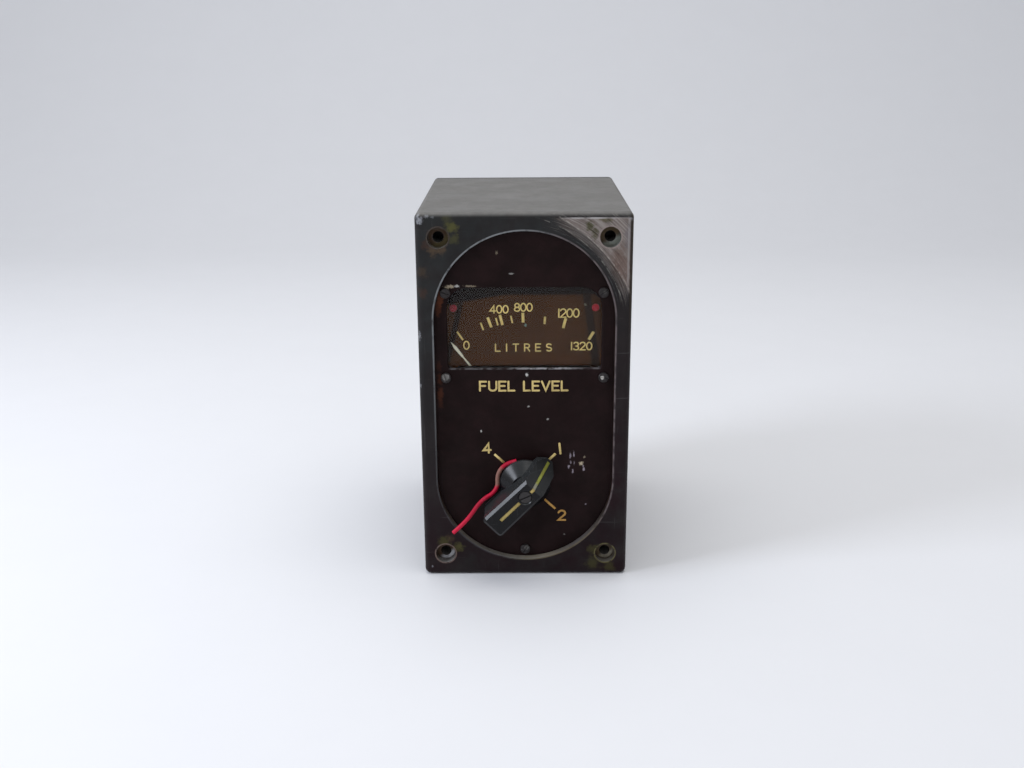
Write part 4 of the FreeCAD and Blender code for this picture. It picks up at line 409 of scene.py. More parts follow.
class Finish:
    """A material under way: its tree, its Principled BSDF and the place on the object."""

    def __init__(self, name, **constants):
        self.material = bpy.data.materials.new(name)
        self.material.use_nodes = True
        self.tree = self.material.node_tree
        self.shader = self.tree.nodes["Principled BSDF"]
        self.put(**constants)
        self.place = node(self.tree, "ShaderNodeTexCoord")["Object"]

    def group(self, name, **inputs):
        """Places a shared effect in the material with this material's own values."""
        if name not in bpy.data.node_groups:
            GROUP_MAKERS[name]()
        made = self.tree.nodes.new("ShaderNodeGroup")
        made.node_tree = bpy.data.node_groups[name]
        for label, value in {"Place": self.place, **inputs}.items():
            feed(self.tree, made.inputs[label], value)
        return Made(self.tree, made)

    def blotch(self, colour, x, z, size, tint, strength=1.0, ragged=0.5, stretch=EVEN, y=0.0, soft=0.45):
        """Lays a ragged patch of another colour on the face, at a point in millimetres."""
        mask = self.group("Blotch", Centre=(x * MM, y * MM, z * MM), Size=size * MM, Ragged=ragged,
                          Stretch=stretch, Soft=soft)["Mask"]
        return blend(mask * strength, colour, tint)

    def put(self, **values):
        """Sets sockets of the shader, or feeds the ones that change over the surface."""
        for label, value in values.items():
            feed(self.tree, self.shader.inputs[label.replace("_", " ")], value)

    def done(self, height, strength, distance, **values):
        """Feeds what changes over the surface, adds the bump and hands the material over."""
        bump = node(self.tree, "ShaderNodeBump",
                    {"Height": height, "Strength": strength, "Distance": distance})
        self.put(**values, Normal=bump[0])
        return self.material


# Finishes

def case_paint(name):
    """Worn semi-gloss black enamel over a cast bezel, as the photograph shows it."""
    s = bpy.context.scene.indicator_case
    f = Finish(name, Specular_IOR_Level=0.13)
    grain = f.group("Skin Grain", Scale=700.0)
    rim = f.group("Oblong Rim")
    parts = split(f.place)
    side, up = parts["X"], parts["Z"]
    on_face = span(rim["Depth"], 0.0009, 0.0004)
    # Painted sheen and reflection: the enamel is lighter towards the upper left and darker and redder lower
    # down, standing in for its sheen and a red reflection
    painted_sheen_upper_left = span(up - side * 0.6, -0.060, 0.075)
    colour = blend(painted_sheen_upper_left, s.painted_low_reflection, s.paint)
    clouds = noise(f.place, 75.0, 5.0, 0.65)
    colour = blend(span(clouds, 0.35, 0.7), colour, (0.019, 0.0150, 0.015))
    colour = blend(grain["Mottle"] * 0.35, colour, (0.0035, 0.003, 0.0035))

    # Olive and tan stains near the screw holes
    olive, tan, rust = (0.11, 0.105, 0.028), (0.12, 0.075, 0.038), (0.10, 0.035, 0.012)
    for x, z, size, tint, strength in [
        (-27.2, 68.9, 2.6, olive, 0.62), (-26.6, 64.6, 2.6, olive, 0.30),
        (-34.6, 60.2, 2.3, tan, 0.50), (-31.2, 60.6, 2.2, tan, 0.42), (-37.3, 62.5, 2.2, rust, 0.22),
        (-38.6, 52.0, 2.6, tan, 0.22), (-38.9, 44.0, 2.4, rust, 0.22), (-29.0, 71.6, 2.4, olive, 0.22),
        (-27.1, -62.3, 2.4, olive, 0.45), (-33.2, -59.8, 3.0, olive, 0.32), (-30.5, -58.2, 2.2, tan, 0.22),
        (27.5, -63.4, 2.6, olive, 0.32), (28.0, -69.8, 3.4, olive, 0.30), (34.5, -71.2, 3.0, olive, 0.26),
    ]:
        colour = f.blotch(colour, x, z, size, tint, strength, 0.8, soft=0.95)

    # Bare metal scraped at the upper right corner, with scratches that follow the rim
    outside = rim["Outside"] * 1000.0
    angle = rim["Angle"]
    polar = joined(angle * 2.2, outside)[0]
    streaks = noise(polar, 1.15, 5.0, 0.7, 0.25)
    fine = noise(stretched(polar, (0.55, 3.4, 1.0)), 1.5, 5.0, 0.75)
    ragged = noise(f.place, 210.0, 5.0, 0.65)
    reach = span(angle, 1.34, 1.12) * span(angle, 0.14, 0.36)
    reach = reach * span(up, 0.0325, 0.046)
    bow = angle - 0.73
    bow = bow * bow
    beyond = outside - bow * 6.0
    beyond = beyond - (streaks - 0.5) * 2.4
    half_bare = span(beyond, 2.3, 2.9, 0.0, 0.42) * span(fine, 0.40, 0.55, 0.3, 1.0)
    scraped = reach * maths("MAXIMUM", span(beyond, 4.6, 5.6), half_bare)
    scraped = scraped * span(ragged, 0.28, 0.42, 0.4, 1.0)
    scraped = scraped * span(up, 0.0727, 0.0722)
    scraped = scraped * on_face * span(side, 0.0403, 0.0398)
    lines = span(fine, 0.56, 0.64) * span(angle, 1.40, 1.1)
    lines = lines * span(angle, 0.02, 0.3) * span(outside, 1.2, 2.2)
    lines = lines * span(up, 0.034, 0.044) * on_face
    dark_lines = span(fine, 0.46, 0.38) * scraped
    bare = blend(noise(f.place, 300.0, 4.0, 0.6), (0.115, 0.090, 0.080), (0.27, 0.225, 0.205))
    bare = blend(span(streaks, 0.42, 0.62), bare, (0.30, 0.265, 0.245))
    for x, z, size, tint, strength, stretch in [
        (24.6, 69.4, 1.9, (0.055, 0.055, 0.018), 0.85, (1.0, 1.0, 0.8)),
        (26.6, 66.6, 1.6, (0.060, 0.055, 0.020), 0.75, (1.0, 1.0, 0.6)),
        (31.0, 71.6, 1.7, (0.10, 0.085, 0.035), 0.7, (0.6, 1.0, 1.4)),
        (37.6, 53.0, 5.2, (0.135, 0.080, 0.062), 0.65, (1.0, 1.0, 0.6)),
        (35.0, 58.6, 2.8, (0.15, 0.105, 0.085), 0.5, EVEN),
        (39.4, 66.0, 1.8, (0.16, 0.14, 0.15), 0.6, (1.0, 1.0, 0.3)),
    ]:
        bare = f.blotch(bare, x, z, size, tint, strength, 0.9, stretch, soft=0.8)
    colour = blend(scraped * 0.92, colour, bare)
    colour = blend(dark_lines * 0.85, colour, (0.022, 0.018, 0.016))
    colour = blend(lines * 0.7, colour, (0.31, 0.285, 0.25))

    # Long scratches across the corner, and the rubbed lines round it
    for middle, away, bow, width, strength, tint in [
        (0.73, 5.3, 8.0, 0.32, 0.85, (0.40, 0.37, 0.33)), (0.62, 2.6, 4.0, 0.26, 0.65, (0.30, 0.29, 0.26)),
        (0.70, 4.3, 7.0, 0.20, 0.40, (0.26, 0.22, 0.17)), (0.80, 6.9, 9.0, 0.18, 0.35, (0.42, 0.37, 0.36)),
        (0.55, 1.5, 1.0, 0.16, 0.20, (0.20, 0.22, 0.23)),
    ]:
        turn = angle - middle
        drift = turn * turn * bow + away
        near = abs(outside - drift)
        worn = span(noise(f.place, 190.0 + 40.0 * away, 4.0, 0.7), 0.43, 0.62)
        scratch = span(near, width, 0.05) * worn
        scratch = scratch * span(angle, 1.50, 1.25) * span(angle, 0.16, 0.34)
        scratch = scratch * on_face * span(up, 0.034, 0.044)
        colour = blend(scratch * strength, colour, tint)
    top_line = span(abs(up - 0.07235), 0.00045, 0.00010)
    top_line = top_line * span(side, 0.013, 0.019) * span(side, 0.0370, 0.030, 0.25, 1.0)
    side_line = span(abs(side - 0.0394), 0.0006, 0.00015)
    side_line = side_line * span(up, 0.042, 0.050, 0.0, 0.4) * span(up, 0.0735, 0.071)
    corner = maths("MAXIMUM", top_line, side_line) * span(ragged, 0.34, 0.56, 0.25, 0.95)
    colour = blend(corner, colour, (0.42, 0.40, 0.395))
    brown_edge = span(side, 0.0399, 0.0404) * span(up, 0.020, 0.045)
    colour = blend(brown_edge * 0.85, colour, (0.026, 0.017, 0.009))

    # Worn edge of the oblong rim: grey on the left and top, pinkish on the right, and tan below, which is
    # partly a painted highlight where the edge faces up to the light
    edge = abs(outside - 0.30)
    worn = span(edge, 0.52, 0.16) * on_face
    breaks = noise(f.place, 260.0, 4.0, 0.6)
    upper = span(up, -0.045, 0.058)
    left = span(side, 0.022, -0.006)
    worn_left = worn * left * (0.15 + upper * 0.85)
    worn_left = worn_left * span(breaks, 0.26, 0.5)
    worn_right = worn * (1.0 - left)
    worn_right = worn_right * span(breaks, 0.36, 0.55, 0.15, 0.7)
    low = span(up, -0.045, -0.062)
    # Tan lower edge: wear and painted highlight
    rim_low_wear_and_highlight = worn * low * span(side, -0.012, 0.008)
    colour = blend(worn_left, colour, (0.21, 0.22, 0.225))
    colour = blend(worn_right, colour, (0.165, 0.135, 0.135))
    colour = blend(rim_low_wear_and_highlight * 0.55, colour, (0.15, 0.12, 0.055))

    # The recess wall inside the rim: brown stain, with a pale line along the bottom that is worn paint and a
    # painted highlight where the wall faces up to the light
    wall = span(outside, 0.12, 0.02) * span(rim["Depth"], 0.0002, 0.0005)
    wall = wall * span(rim["Depth"], 0.0042, 0.0032)
    # Pale tan along the bottom of the wall, mauve to the right: wear and painted highlight
    wall_low_wear_and_highlight = low * span(side, -0.016, 0.002, 0.25, 1.0)
    stain = blend(wall_low_wear_and_highlight, (0.030, 0.015, 0.010), (0.17, 0.125, 0.05))
    stain = blend(span(side, 0.008, 0.024) * low, stain, (0.115, 0.095, 0.12))
    colour = blend(wall * span(breaks, 0.2, 0.45, 0.35, 0.9), colour, stain)

    # Counterbores: bare dirty metal inside, lit in a painted crescent on the lower right wall and in painted
    # shade on the upper left, and a worn ring round each
    fold = joined(abs(side) - MOUNT_X, abs(up) - MOUNT_Z)
    away = vector("LENGTH", fold[0])["Value"]
    in_bore = span(away, 0.00412, 0.00402) * span(rim["Depth"], 0.0001, 0.0003)
    in_bore = in_bore * span(rim["Depth"], 0.0034, 0.0031)
    ring = abs(away - 0.00425)
    ring = span(ring, 0.0004, 0.00012) * on_face
    right = span(side, -0.001, 0.001)
    top = span(up, -0.001, 0.001)
    across = split(fold[0])
    rightward = across["X"] * maths("SIGN", side)
    downward = across["Y"] * maths("SIGN", up) * -1.0
    # Painted light and shade in each bore: lit towards the lower right, shaded towards the upper left
    facing_light = span(rightward * 0.6 + downward, 0.0002, 0.0026)
    lit_bore_right = blend(top, (0.25, 0.23, 0.18), (0.20, 0.215, 0.19))
    lit_bore_left = blend(top, (0.40, 0.41, 0.43), (0.070, 0.055, 0.022))
    shaded_bore = blend(right, (0.045, 0.026, 0.014), (0.060, 0.042, 0.022))
    bore = blend(facing_light, shaded_bore, blend(right, lit_bore_left, lit_bore_right))
    grime = noise(f.place, 420.0, 4.0, 0.6)
    outer = span(away, 0.0031, 0.0037) * (1.0 - top)
    bore = blend(outer * 0.7, bore, (0.040, 0.022, 0.014))
    grimy = span(grime, 0.45, 0.65) * 0.45
    colour = blend(in_bore, colour, blend(grimy, bore, (0.05, 0.035, 0.022)))
    right_ring = blend(top, (0.14, 0.125, 0.05), (0.30, 0.24, 0.22))
    left_ring = blend(top, (0.17, 0.12, 0.10), (0.055, 0.04, 0.03))
    ring = ring * span(grime, 0.3, 0.55)
    colour = blend(ring * 0.8, colour, blend(right, left_ring, right_ring))

    # White scuffs at two corners, rubbed edges, and dust on top laid heavy enough to stand in for the top
    # face's sheen: dust with painted sheen
    for x, z, size, strength, stretch in [
        (-39.4, 71.9, 1.5, 0.55, EVEN), (-39.9, 73.6, 1.0, 0.5, (1.0, 0.3, 1.0)),
        (-36.6, 73.3, 0.9, 0.35, (1.0, 0.3, 1.4)), (-34.4, 73.0, 0.7, 0.22, (1.0, 0.3, 1.4)),
        (-38.2, -70.9, 0.6, 0.35, (1.7, 1.0, 1.0)), (40.2, 72.0, 0.8, 0.35, (1.0, 0.6, 1.0)),
        (-40.9, 6.8, 0.6, 0.5, (1.0, 0.4, 0.5)), (-40.6, 27.0, 0.8, 0.35, (1.0, 0.4, 0.4)),
    ]:
        colour = f.blotch(colour, x, z, size, (0.42, 0.43, 0.46), strength, 1.0, stretch, soft=0.8)
    edges = f.group("Edge Wear", Width=0.0009, Amount=s.edge_wear, Scale=260.0)["Mask"]
    colour = blend(edges, colour, (0.16, 0.155, 0.16))
    scratches = f.group("Scratches", Scale=34.0, Amount=0.22)["Mask"]
    colour = blend(scratches, colour, (0.12, 0.115, 0.115))
    # Dust, partly a painted sheen on the top face
    dust = f.group("Settled Dust", Amount=s.dust)["Mask"]
    colour = blend(dust, colour, (0.30, 0.29, 0.27))

    rough = (s.roughness + grain["Mottle"] * 0.12 + dust * 0.3).clamped()
    worked = maths("MAXIMUM", scraped, in_bore)
    height = grain["Height"] * 0.35 - scraped * 0.6
    height = height - maths("MAXIMUM", lines, dark_lines) * 0.35
    return f.done(height, 0.5, 0.00009, Base_Color=colour, Roughness=rough, Metallic=worked * 0.35)


def rear_paint(name):
    """Plain black enamel of the rear cover, with rubbed edges."""
    s = bpy.context.scene.indicator_case
    f = Finish(name, Specular_IOR_Level=0.5)
    grain = f.group("Skin Grain", Scale=650.0)
    colour = blend(grain["Mottle"], s.paint, [c * 2.4 + 0.002 for c in s.paint])
    edges = f.group("Edge Wear", Width=0.0006, Amount=0.5, Scale=300.0)["Mask"]
    colour = blend(edges, colour, (0.30, 0.29, 0.28))
    scratches = f.group("Scratches", Scale=30.0, Amount=0.35)["Mask"]
    colour = blend(scratches, colour, (0.16, 0.15, 0.15))
    rough = 0.38 + grain["Mottle"] * 0.14
    return f.done(grain["Height"], 0.4, 0.00008, Base_Color=colour, Roughness=rough)


def plate_paint(name):
    """The oblong plate's dull brown-black finish, its reddish cast a painted reflection, with chips down to
    pale metal.
    """
    s = bpy.context.scene.indicator_face
    f = Finish(name, Specular_IOR_Level=0.11)
    grain = f.group("Skin Grain", Scale=1100.0)
    tint = noise(f.place, 170.0, 3.0, 0.6)
    colour = blend(span(tint, 0.3, 0.7), s.plate, (s.plate[0] * 1.6, s.plate[1] * 1.6, s.plate[2] * 1.8))
    colour = blend(grain["Mottle"] * 0.4, colour, [c * 0.45 for c in s.plate])

    # Orange-brown stains beside the window, grime towards the rim
    rust = (0.105, 0.031, 0.013)
    for x, z, size, strength in [(-32.4, 41.0, 1.6, 0.75), (-33.3, 37.0, 1.5, 0.4), (-33.2, 8.4, 1.3, 0.4),
                                 (-33.3, 3.0, 1.4, 0.5), (-33.2, -1.5, 1.2, 0.25), (-33.6, 14.0, 1.1, 0.2)]:
        colour = f.blotch(colour, x, z, size, rust, strength, 0.7, (1.0, 1.0, 0.45), 2.75, 0.8)

    # Chips and scuffs
    white, cream, mauve = (0.62, 0.61, 0.58), (0.50, 0.42, 0.30), (0.38, 0.33, 0.38)
    for x, z, size, tone, strength, stretch in [
        (1.0, 10.5, 0.6, white, 0.85, (1.0, 1.0, 0.9)), (1.5, -2.7, 0.4, white, 0.5, EVEN),
        (9.1, -8.0, 0.45, white, 0.45, EVEN), (-17.4, -13.0, 0.5, white, 0.7, (1.3, 1.0, 1.0)),
        (-5.0, 50.8, 0.55, white, 0.35, (0.6, 1.0, 1.5)), (-10.5, 59.0, 0.5, cream, 0.3, (1.0, 1.0, 0.7)),
        (-28.9, 45.8, 1.2, cream, 0.7, (0.55, 1.0, 1.5)), (-25.9, 46.1, 0.7, white, 0.75, (0.8, 1.0, 1.2)),
        (-20.9, 46.0, 0.7, cream, 0.35, (0.3, 1.0, 1.6)), (-30.8, 43.1, 0.55, cream, 0.7, (1.3, 1.0, 0.7)),
        (18.2, -23.6, 0.5, mauve, 0.55, (1.5, 1.0, 0.4)), (19.6, -22.9, 0.5, mauve, 0.7, (1.8, 1.0, 0.35)),
        (17.6, -28.2, 0.6, mauve, 0.8, (1.2, 1.0, 0.7)), (19.3, -30.2, 0.5, mauve, 0.7, (1.4, 1.0, 0.5)),
        (18.4, -26.4, 0.4, mauve, 0.5, (1.2, 1.0, 0.6)), (19.8, -26.6, 0.35, mauve, 0.4, (1.5, 1.0, 0.4)),
        (22.6, -26.9, 0.8, cream, 0.85, (1.0, 1.0, 0.7)), (23.6, -29.4, 0.5, mauve, 0.75, (1.2, 1.0, 0.6)),
        (23.4, -28.0, 0.4, mauve, 0.6, (1.3, 1.0, 0.6)), (23.9, -24.2, 0.5, cream, 0.35, EVEN),
        (24.6, -44.6, 0.4, mauve, 0.5, EVEN),
        (16.0, -58.0, 0.4, white, 0.2, EVEN),
    ]:
        colour = f.blotch(colour, x, z, size * 1.1, tone, strength, 0.9, stretch, 2.75, 0.75)

    # Worn line at the window's lower edge, partly a painted highlight where the edge faces up to the light
    parts = split(f.place)
    broken = noise(f.place, 420.0, 4.0, 0.65)
    window_edge_wear_and_highlight = span(abs(parts["Z"] - 0.01292), 0.00045, 0.00015)
    window_edge_wear_and_highlight = window_edge_wear_and_highlight * span(abs(parts["X"]), 0.0302, 0.0285)
    worn_part = span(abs(parts["X"] - 0.008), 0.014, 0.006, 0.22, 0.75)
    window_edge_wear_and_highlight = window_edge_wear_and_highlight * span(broken, 0.42, 0.56) * worn_part
    colour = blend(window_edge_wear_and_highlight, colour, (0.40, 0.40, 0.41))
    edges = f.group("Edge Wear", Width=0.0004, Amount=0.12, Scale=420.0)["Mask"]
    colour = blend(edges, colour, (0.18, 0.16, 0.15))

    return f.done(grain["Height"], 0.4, 0.00006, Base_Color=colour, Roughness=0.52 + grain["Mottle"] * 0.16)


def dial_paint(name):
    """Matt dark brown dial, a little darker towards its edges; the brown is a painted reflection of a red
    surface in the glass.
    """
    s = bpy.context.scene.indicator_dial
    f = Finish(name, Specular_IOR_Level=0.1)
    grain = f.group("Skin Grain", Scale=1300.0)
    parts = split(f.place)
    cloud = noise(f.place, 60.0, 4.0, 0.6)
    # The brown base is a painted reflection
    colour = blend(span(cloud, 0.3, 0.7), s.dial, (s.dial[0] * 1.2, s.dial[1] * 1.2, s.dial[2] * 1.2))
    colour = blend(grain["Mottle"] * 0.3, colour, [c * 0.6 for c in s.dial])
    side, up = parts["X"], parts["Z"]
    low = span(up, 0.0195, 0.0140)
    colour = blend(low * 0.6, colour, (0.10, 0.033, 0.008))

    # Shade under the window's top edge and down both sides, where the dial is sunk
    shade_from = 0.0410 + maths("MINIMUM", side + 0.008, 0.0) * 0.17
    shade = span(up - shade_from, -0.0006, 0.0009)
    for foot, lean, half in ((0.0278, -0.139, 0.0017), (-0.0302, 0.24, 0.0012)):
        middle = foot + (up - 0.0160) * lean
        strip = abs(side - middle)
        shade = maths("MAXIMUM", shade, span(strip, half + 0.0004, half - 0.0006) * 0.8)
    colour = blend(shade * 0.85, colour, (0.0045, 0.0050, 0.0055))
    colour = f.blotch(colour, 0.5, 29.0, 0.5, (0.16, 0.24, 0.21), 0.9, 0.7, (1.0, 1.0, 0.7), 8.9)
    colour = f.blotch(colour, 23.8, 37.2, 0.55, (0.22, 0.20, 0.14), 0.5, 0.8, EVEN, 8.9)
    return f.done(grain["Height"], 0.3, 0.00005, Base_Color=colour, Roughness=0.6 + grain["Mottle"] * 0.15)


def marking_paint(name, colour, dirt):
    """Pale filled lettering with dirt in its pores."""
    f = Finish(name, Specular_IOR_Level=0.3)
    grain = f.group("Skin Grain", Scale=2200.0)
    specks = noise(f.place, 900.0, 4.0, 0.7)
    shade = blend(grain["Mottle"], colour, [c * 0.72 for c in colour])
    shade = blend(span(specks, 0.58, 0.72) * dirt, shade, (0.06, 0.04, 0.015))
    return f.done(grain["Height"], 0.35, 0.00003, Base_Color=shade, Roughness=0.5 + grain["Mottle"] * 0.2)


def face_lettering(name):
    return marking_paint(name, bpy.context.scene.indicator_face.lettering, 0.45)


def dial_lettering(name):
    return marking_paint(name, bpy.context.scene.indicator_dial.lettering, 0.3)


def amber_lettering(name):
    return marking_paint(name, (0.60, 0.33, 0.085), 0.7)


def index_paint(name):
    """Old luminous paint in the knob's grooves: ochre on the tail, greener down the nose."""
    s = bpy.context.scene.indicator_knob
    f = Finish(name, Specular_IOR_Level=0.3)
    grain = f.group("Skin Grain", Scale=2000.0)
    depth = split(f.place)["Y"]
    colour = blend(span(depth, -0.0142, -0.0105), s.index, (0.30, 0.33, 0.055))
    near_bend = span(depth, -0.0143, -0.0138) * span(depth, -0.0108, -0.0122)
    colour = blend(near_bend * 0.75, colour, (0.24, 0.26, 0.25))
    colour = blend(grain["Mottle"] * 0.4, colour, (0.22, 0.17, 0.05))
    worn = noise(f.place, 700.0, 4.0, 0.7)
    colour = blend(span(worn, 0.66, 0.74), colour, (0.03, 0.03, 0.02))
    return f.done(grain["Height"], 0.4, 0.00003, Base_Color=colour, Roughness=0.55)


def knob_black(name):
    """Glossy black moulded plastic with fine rubbing along its edges."""
    s = bpy.context.scene.indicator_knob
    f = Finish(name, Specular_IOR_Level=0.2)
    grain = f.group("Skin Grain", Scale=500.0)
    colour = blend(grain["Mottle"], s.knob, [c * 2.0 for c in s.knob])
    scratches = f.group("Scratches", Scale=60.0, Amount=0.25)["Mask"]
    colour = blend(scratches, colour, (0.06, 0.065, 0.07))
    edges = f.group("Edge Wear", Width=0.0005, Amount=0.25, Scale=350.0)["Mask"]
    colour = blend(edges, colour, (0.08, 0.085, 0.10))
    dust = f.group("Settled Dust", Amount=0.3)["Mask"]
    colour = blend(dust, colour, (0.11, 0.12, 0.12))
    rough = s.roughness + grain["Mottle"] * 0.08
    rough = (rough + maths("MAXIMUM", scratches, dust) * 0.4).clamped()
    return f.done(grain["Height"], 0.15, 0.00006, Base_Color=colour, Roughness=rough)


def lead_plastic(name):
    """Faded red insulation, tan on the arc beside the knob."""
    s = bpy.context.scene.indicator_lead
    f = Finish(name, Specular_IOR_Level=0.25)
    grain = f.group("Skin Grain", Scale=900.0)
    colour = blend(grain["Mottle"], s.insulation, [c * 0.68 for c in s.insulation])
    pale = noise(f.place, 260.0, 3.0, 0.6)
    colour = blend(span(pale, 0.55, 0.75) * 0.3, colour, (0.62, 0.07, 0.13))
    # Tan patch on the arc beside the knob
    worn = f.group("Blotch", Centre=(-0.0110, 0.0004, -0.0313), Size=0.0038, Ragged=0.22,
                   Stretch=(0.6, 0.3, 1.0))["Mask"]
    colour = blend(worn * 0.9, colour, (0.21, 0.125, 0.095))
    return f.done(grain["Height"], 0.3, 0.00006, Base_Color=colour, Roughness=0.42 + grain["Mottle"] * 0.15)


def window_glass(name):
    """Thin clear glass with a faint film of dust and hairline scratches."""
    f = Finish(name, Base_Color=(0.93, 0.95, 0.95), Transmission_Weight=1.0, IOR=1.2)
    scratches = f.group("Scratches", Scale=22.0, Amount=0.05)["Mask"]
    film = noise(f.place, 90.0, 4.0, 0.6)
    rough = span(film, 0.45, 0.8) * 0.03 + scratches
    f.put(Roughness=rough + 0.01)
    return f.material


def metal(name, colour, rough, grime=(0.10, 0.085, 0.07), dirt=0.35, lines=500.0, specular=0.5, metallic=1.0):
    """Worked metal with drawn lines, tarnish and brighter edges."""
    f = Finish(name, Specular_IOR_Level=specular, Metallic=metallic)
    worked = f.group("Worked Metal", Scale=lines)
    edges = f.group("Edge Wear", Width=0.0003, Amount=0.7, Scale=500.0)["Mask"]
    tarnish = noise(f.place, 220.0, 5.0, 0.65)
    shade = blend(worked["Shade"], [c * 0.8 for c in colour], colour)
    shade = blend(span(tarnish, 0.5, 0.75) * dirt, shade, grime)
    shade = blend(edges, shade, [min(c * 1.3 + 0.04, 1.0) for c in colour])
    return f.done(worked["Height"], 0.25, 0.00003, Base_Color=shade, Roughness=rough
                  + span(tarnish, 0.4, 0.75) * 0.22)


def plastic(name, colour, rough, second=None, scale=700.0, specular=0.45):
    """Moulded or wound material with a fine skin and uneven shade."""
    f = Finish(name, Specular_IOR_Level=specular)
    grain = f.group("Skin Grain", Scale=scale)
    shade = blend(grain["Mottle"], colour, second or [c * 0.7 for c in colour])
    dust = f.group("Settled Dust", Amount=0.25)["Mask"]
    shade = blend(dust, shade, (0.25, 0.24, 0.22))
    return f.done(grain["Height"], 0.35, 0.00005, Base_Color=shade, Roughness=rough + grain["Mottle"] * 0.15)


def plate_screw(name):
    """Screw heads once blackened, rubbed to grey metal, with a painted highlight on each head, one brighter
    than the rest.
    """
    f = Finish(name, Specular_IOR_Level=0.4)
    worked = f.group("Worked Metal", Scale=600.0)
    bare = noise(f.place, 900.0, 4.0, 0.7)
    up = split(f.place)["Z"]
    colour = blend(worked["Shade"], (0.012, 0.010, 0.010), (0.030, 0.025, 0.025))
    rubbed = span(bare, 0.52, 0.66) * span(up, 0.030, 0.020, 0.08, 0.25)
    colour = blend(rubbed, colour, (0.20, 0.19, 0.19))
    # Painted highlights: a pale glint on each screw head
    for x, z, size, strength in [(30.4, 9.5, 0.8, 1.0), (-30.9, 10.0, 1.5, 0.22), (30.8, 43.6, 0.7, 0.08),
                                 (0.6, -63.4, 1.1, 0.12)]:
        colour = f.blotch(colour, x, z, size, (0.56, 0.54, 0.50), strength, 0.5, (1.0, 0.2, 1.0), 2.0)
    edges = f.group("Edge Wear", Width=0.0003, Amount=0.5, Scale=600.0)["Mask"]
    colour = blend(edges, colour, (0.16, 0.15, 0.15))
    return f.done(worked["Height"], 0.3, 0.00004, Base_Color=colour, Roughness=0.36 + bare * 0.2,
                  Metallic=0.5)


def red_lacquer(name):
    f = Finish(name, Specular_IOR_Level=0.4)
    grain = f.group("Skin Grain", Scale=1500.0)
    colour = blend(grain["Mottle"], (0.52, 0.012, 0.022), (0.33, 0.01, 0.02))
    side = split(f.place)["X"]
    colour = blend(span(side, 0.005, -0.005) * 0.5, colour, (0.16, 0.008, 0.012))
    return f.done(grain["Height"], 0.3, 0.00004, Base_Color=colour, Roughness=0.35 + grain["Mottle"] * 0.2)


def pointer_white(name):
    f = Finish(name, Specular_IOR_Level=0.3)
    grain = f.group("Skin Grain", Scale=1800.0)
    colour = blend(grain["Mottle"], (1.0, 0.95, 0.76), (0.86, 0.80, 0.62))
    return f.done(grain["Height"], 0.3, 0.00003, Base_Color=colour, Roughness=0.5 + grain["Mottle"] * 0.2)


def enamel_wire(name):
    """Close turns of varnished copper wire."""
    f = Finish(name, Specular_IOR_Level=0.5, Metallic=0.6)
    t = f.tree
    turns = node(t, "ShaderNodeTexWave", {"Vector": f.place, "Scale": 900.0, "Distortion": 0.6,
                                          "Detail": 2.0}, bands_direction="X")
    cloud = noise(f.place, 200.0, 4.0, 0.6)
    colour = blend(turns["Fac"], (0.16, 0.035, 0.012), (0.55, 0.19, 0.07))
    colour = blend(cloud * 0.4, colour, (0.10, 0.03, 0.015))
    return f.done(turns["Fac"], 0.6, 0.00006, Base_Color=colour, Roughness=0.3 + cloud * 0.15)


def laminate(name):
    """Brown paper laminate with a faint weave."""
    f = Finish(name, Specular_IOR_Level=0.45)
    t = f.tree
    across = node(t, "ShaderNodeTexWave", {"Vector": f.place, "Scale": 500.0, "Distortion": 1.0},
                  bands_direction="X")
    down = node(t, "ShaderNodeTexWave", {"Vector": f.place, "Scale": 500.0, "Distortion": 1.0},
                bands_direction="Z")
    weave = across["Fac"] * down["Fac"]
    cloud = noise(f.place, 120.0, 4.0, 0.6)
    colour = blend(weave, (0.20, 0.085, 0.022), (0.30, 0.145, 0.045))
    colour = blend(cloud * 0.5, colour, (0.13, 0.05, 0.015))
    return f.done(weave, 0.3, 0.00004, Base_Color=colour, Roughness=0.38 + cloud * 0.2)


def stage_finish(name):
    """Plain pale paper with a very faint tooth."""
    s = bpy.context.scene.indicator_stage
    f = Finish(name, Specular_IOR_Level=0.12)
    grain = f.group("Skin Grain", Scale=260.0)
    colour = blend(grain["Mottle"], s.floor, [c * 0.992 for c in s.floor])
    return f.done(grain["Height"], 0.03, 0.00002, Base_Color=colour, Roughness=0.8 + grain["Mottle"] * 0.05)


FINISH_MAKERS = {maker.__name__: maker for maker in (
    case_paint, rear_paint, plate_paint, dial_paint, face_lettering, dial_lettering, amber_lettering,
    index_paint, knob_black, lead_plastic, window_glass, plate_screw, red_lacquer, pointer_white, enamel_wire,
    laminate, stage_finish,
)}
# Colour, roughness, second colour, grain and gloss
PLASTICS = {
    "gasket_rubber": ((0.02, 0.02, 0.021), 0.6, (0.035, 0.034, 0.033), 600.0, 0.3),
    "bobbin_plastic": ((0.05, 0.03, 0.02), 0.4, (0.08, 0.045, 0.03)),
    "insert_rubber": ((0.06, 0.10, 0.07), 0.55, (0.035, 0.06, 0.045), 900.0, 0.35),
    "resistor_ceramic": ((0.42, 0.36, 0.26), 0.5, (0.30, 0.24, 0.17), 800.0),
    "trimmer_body": ((0.03, 0.07, 0.20), 0.35, (0.02, 0.045, 0.14), 800.0),
    "loom_wrap": ((0.045, 0.04, 0.038), 0.55, (0.09, 0.08, 0.07), 1200.0),
}
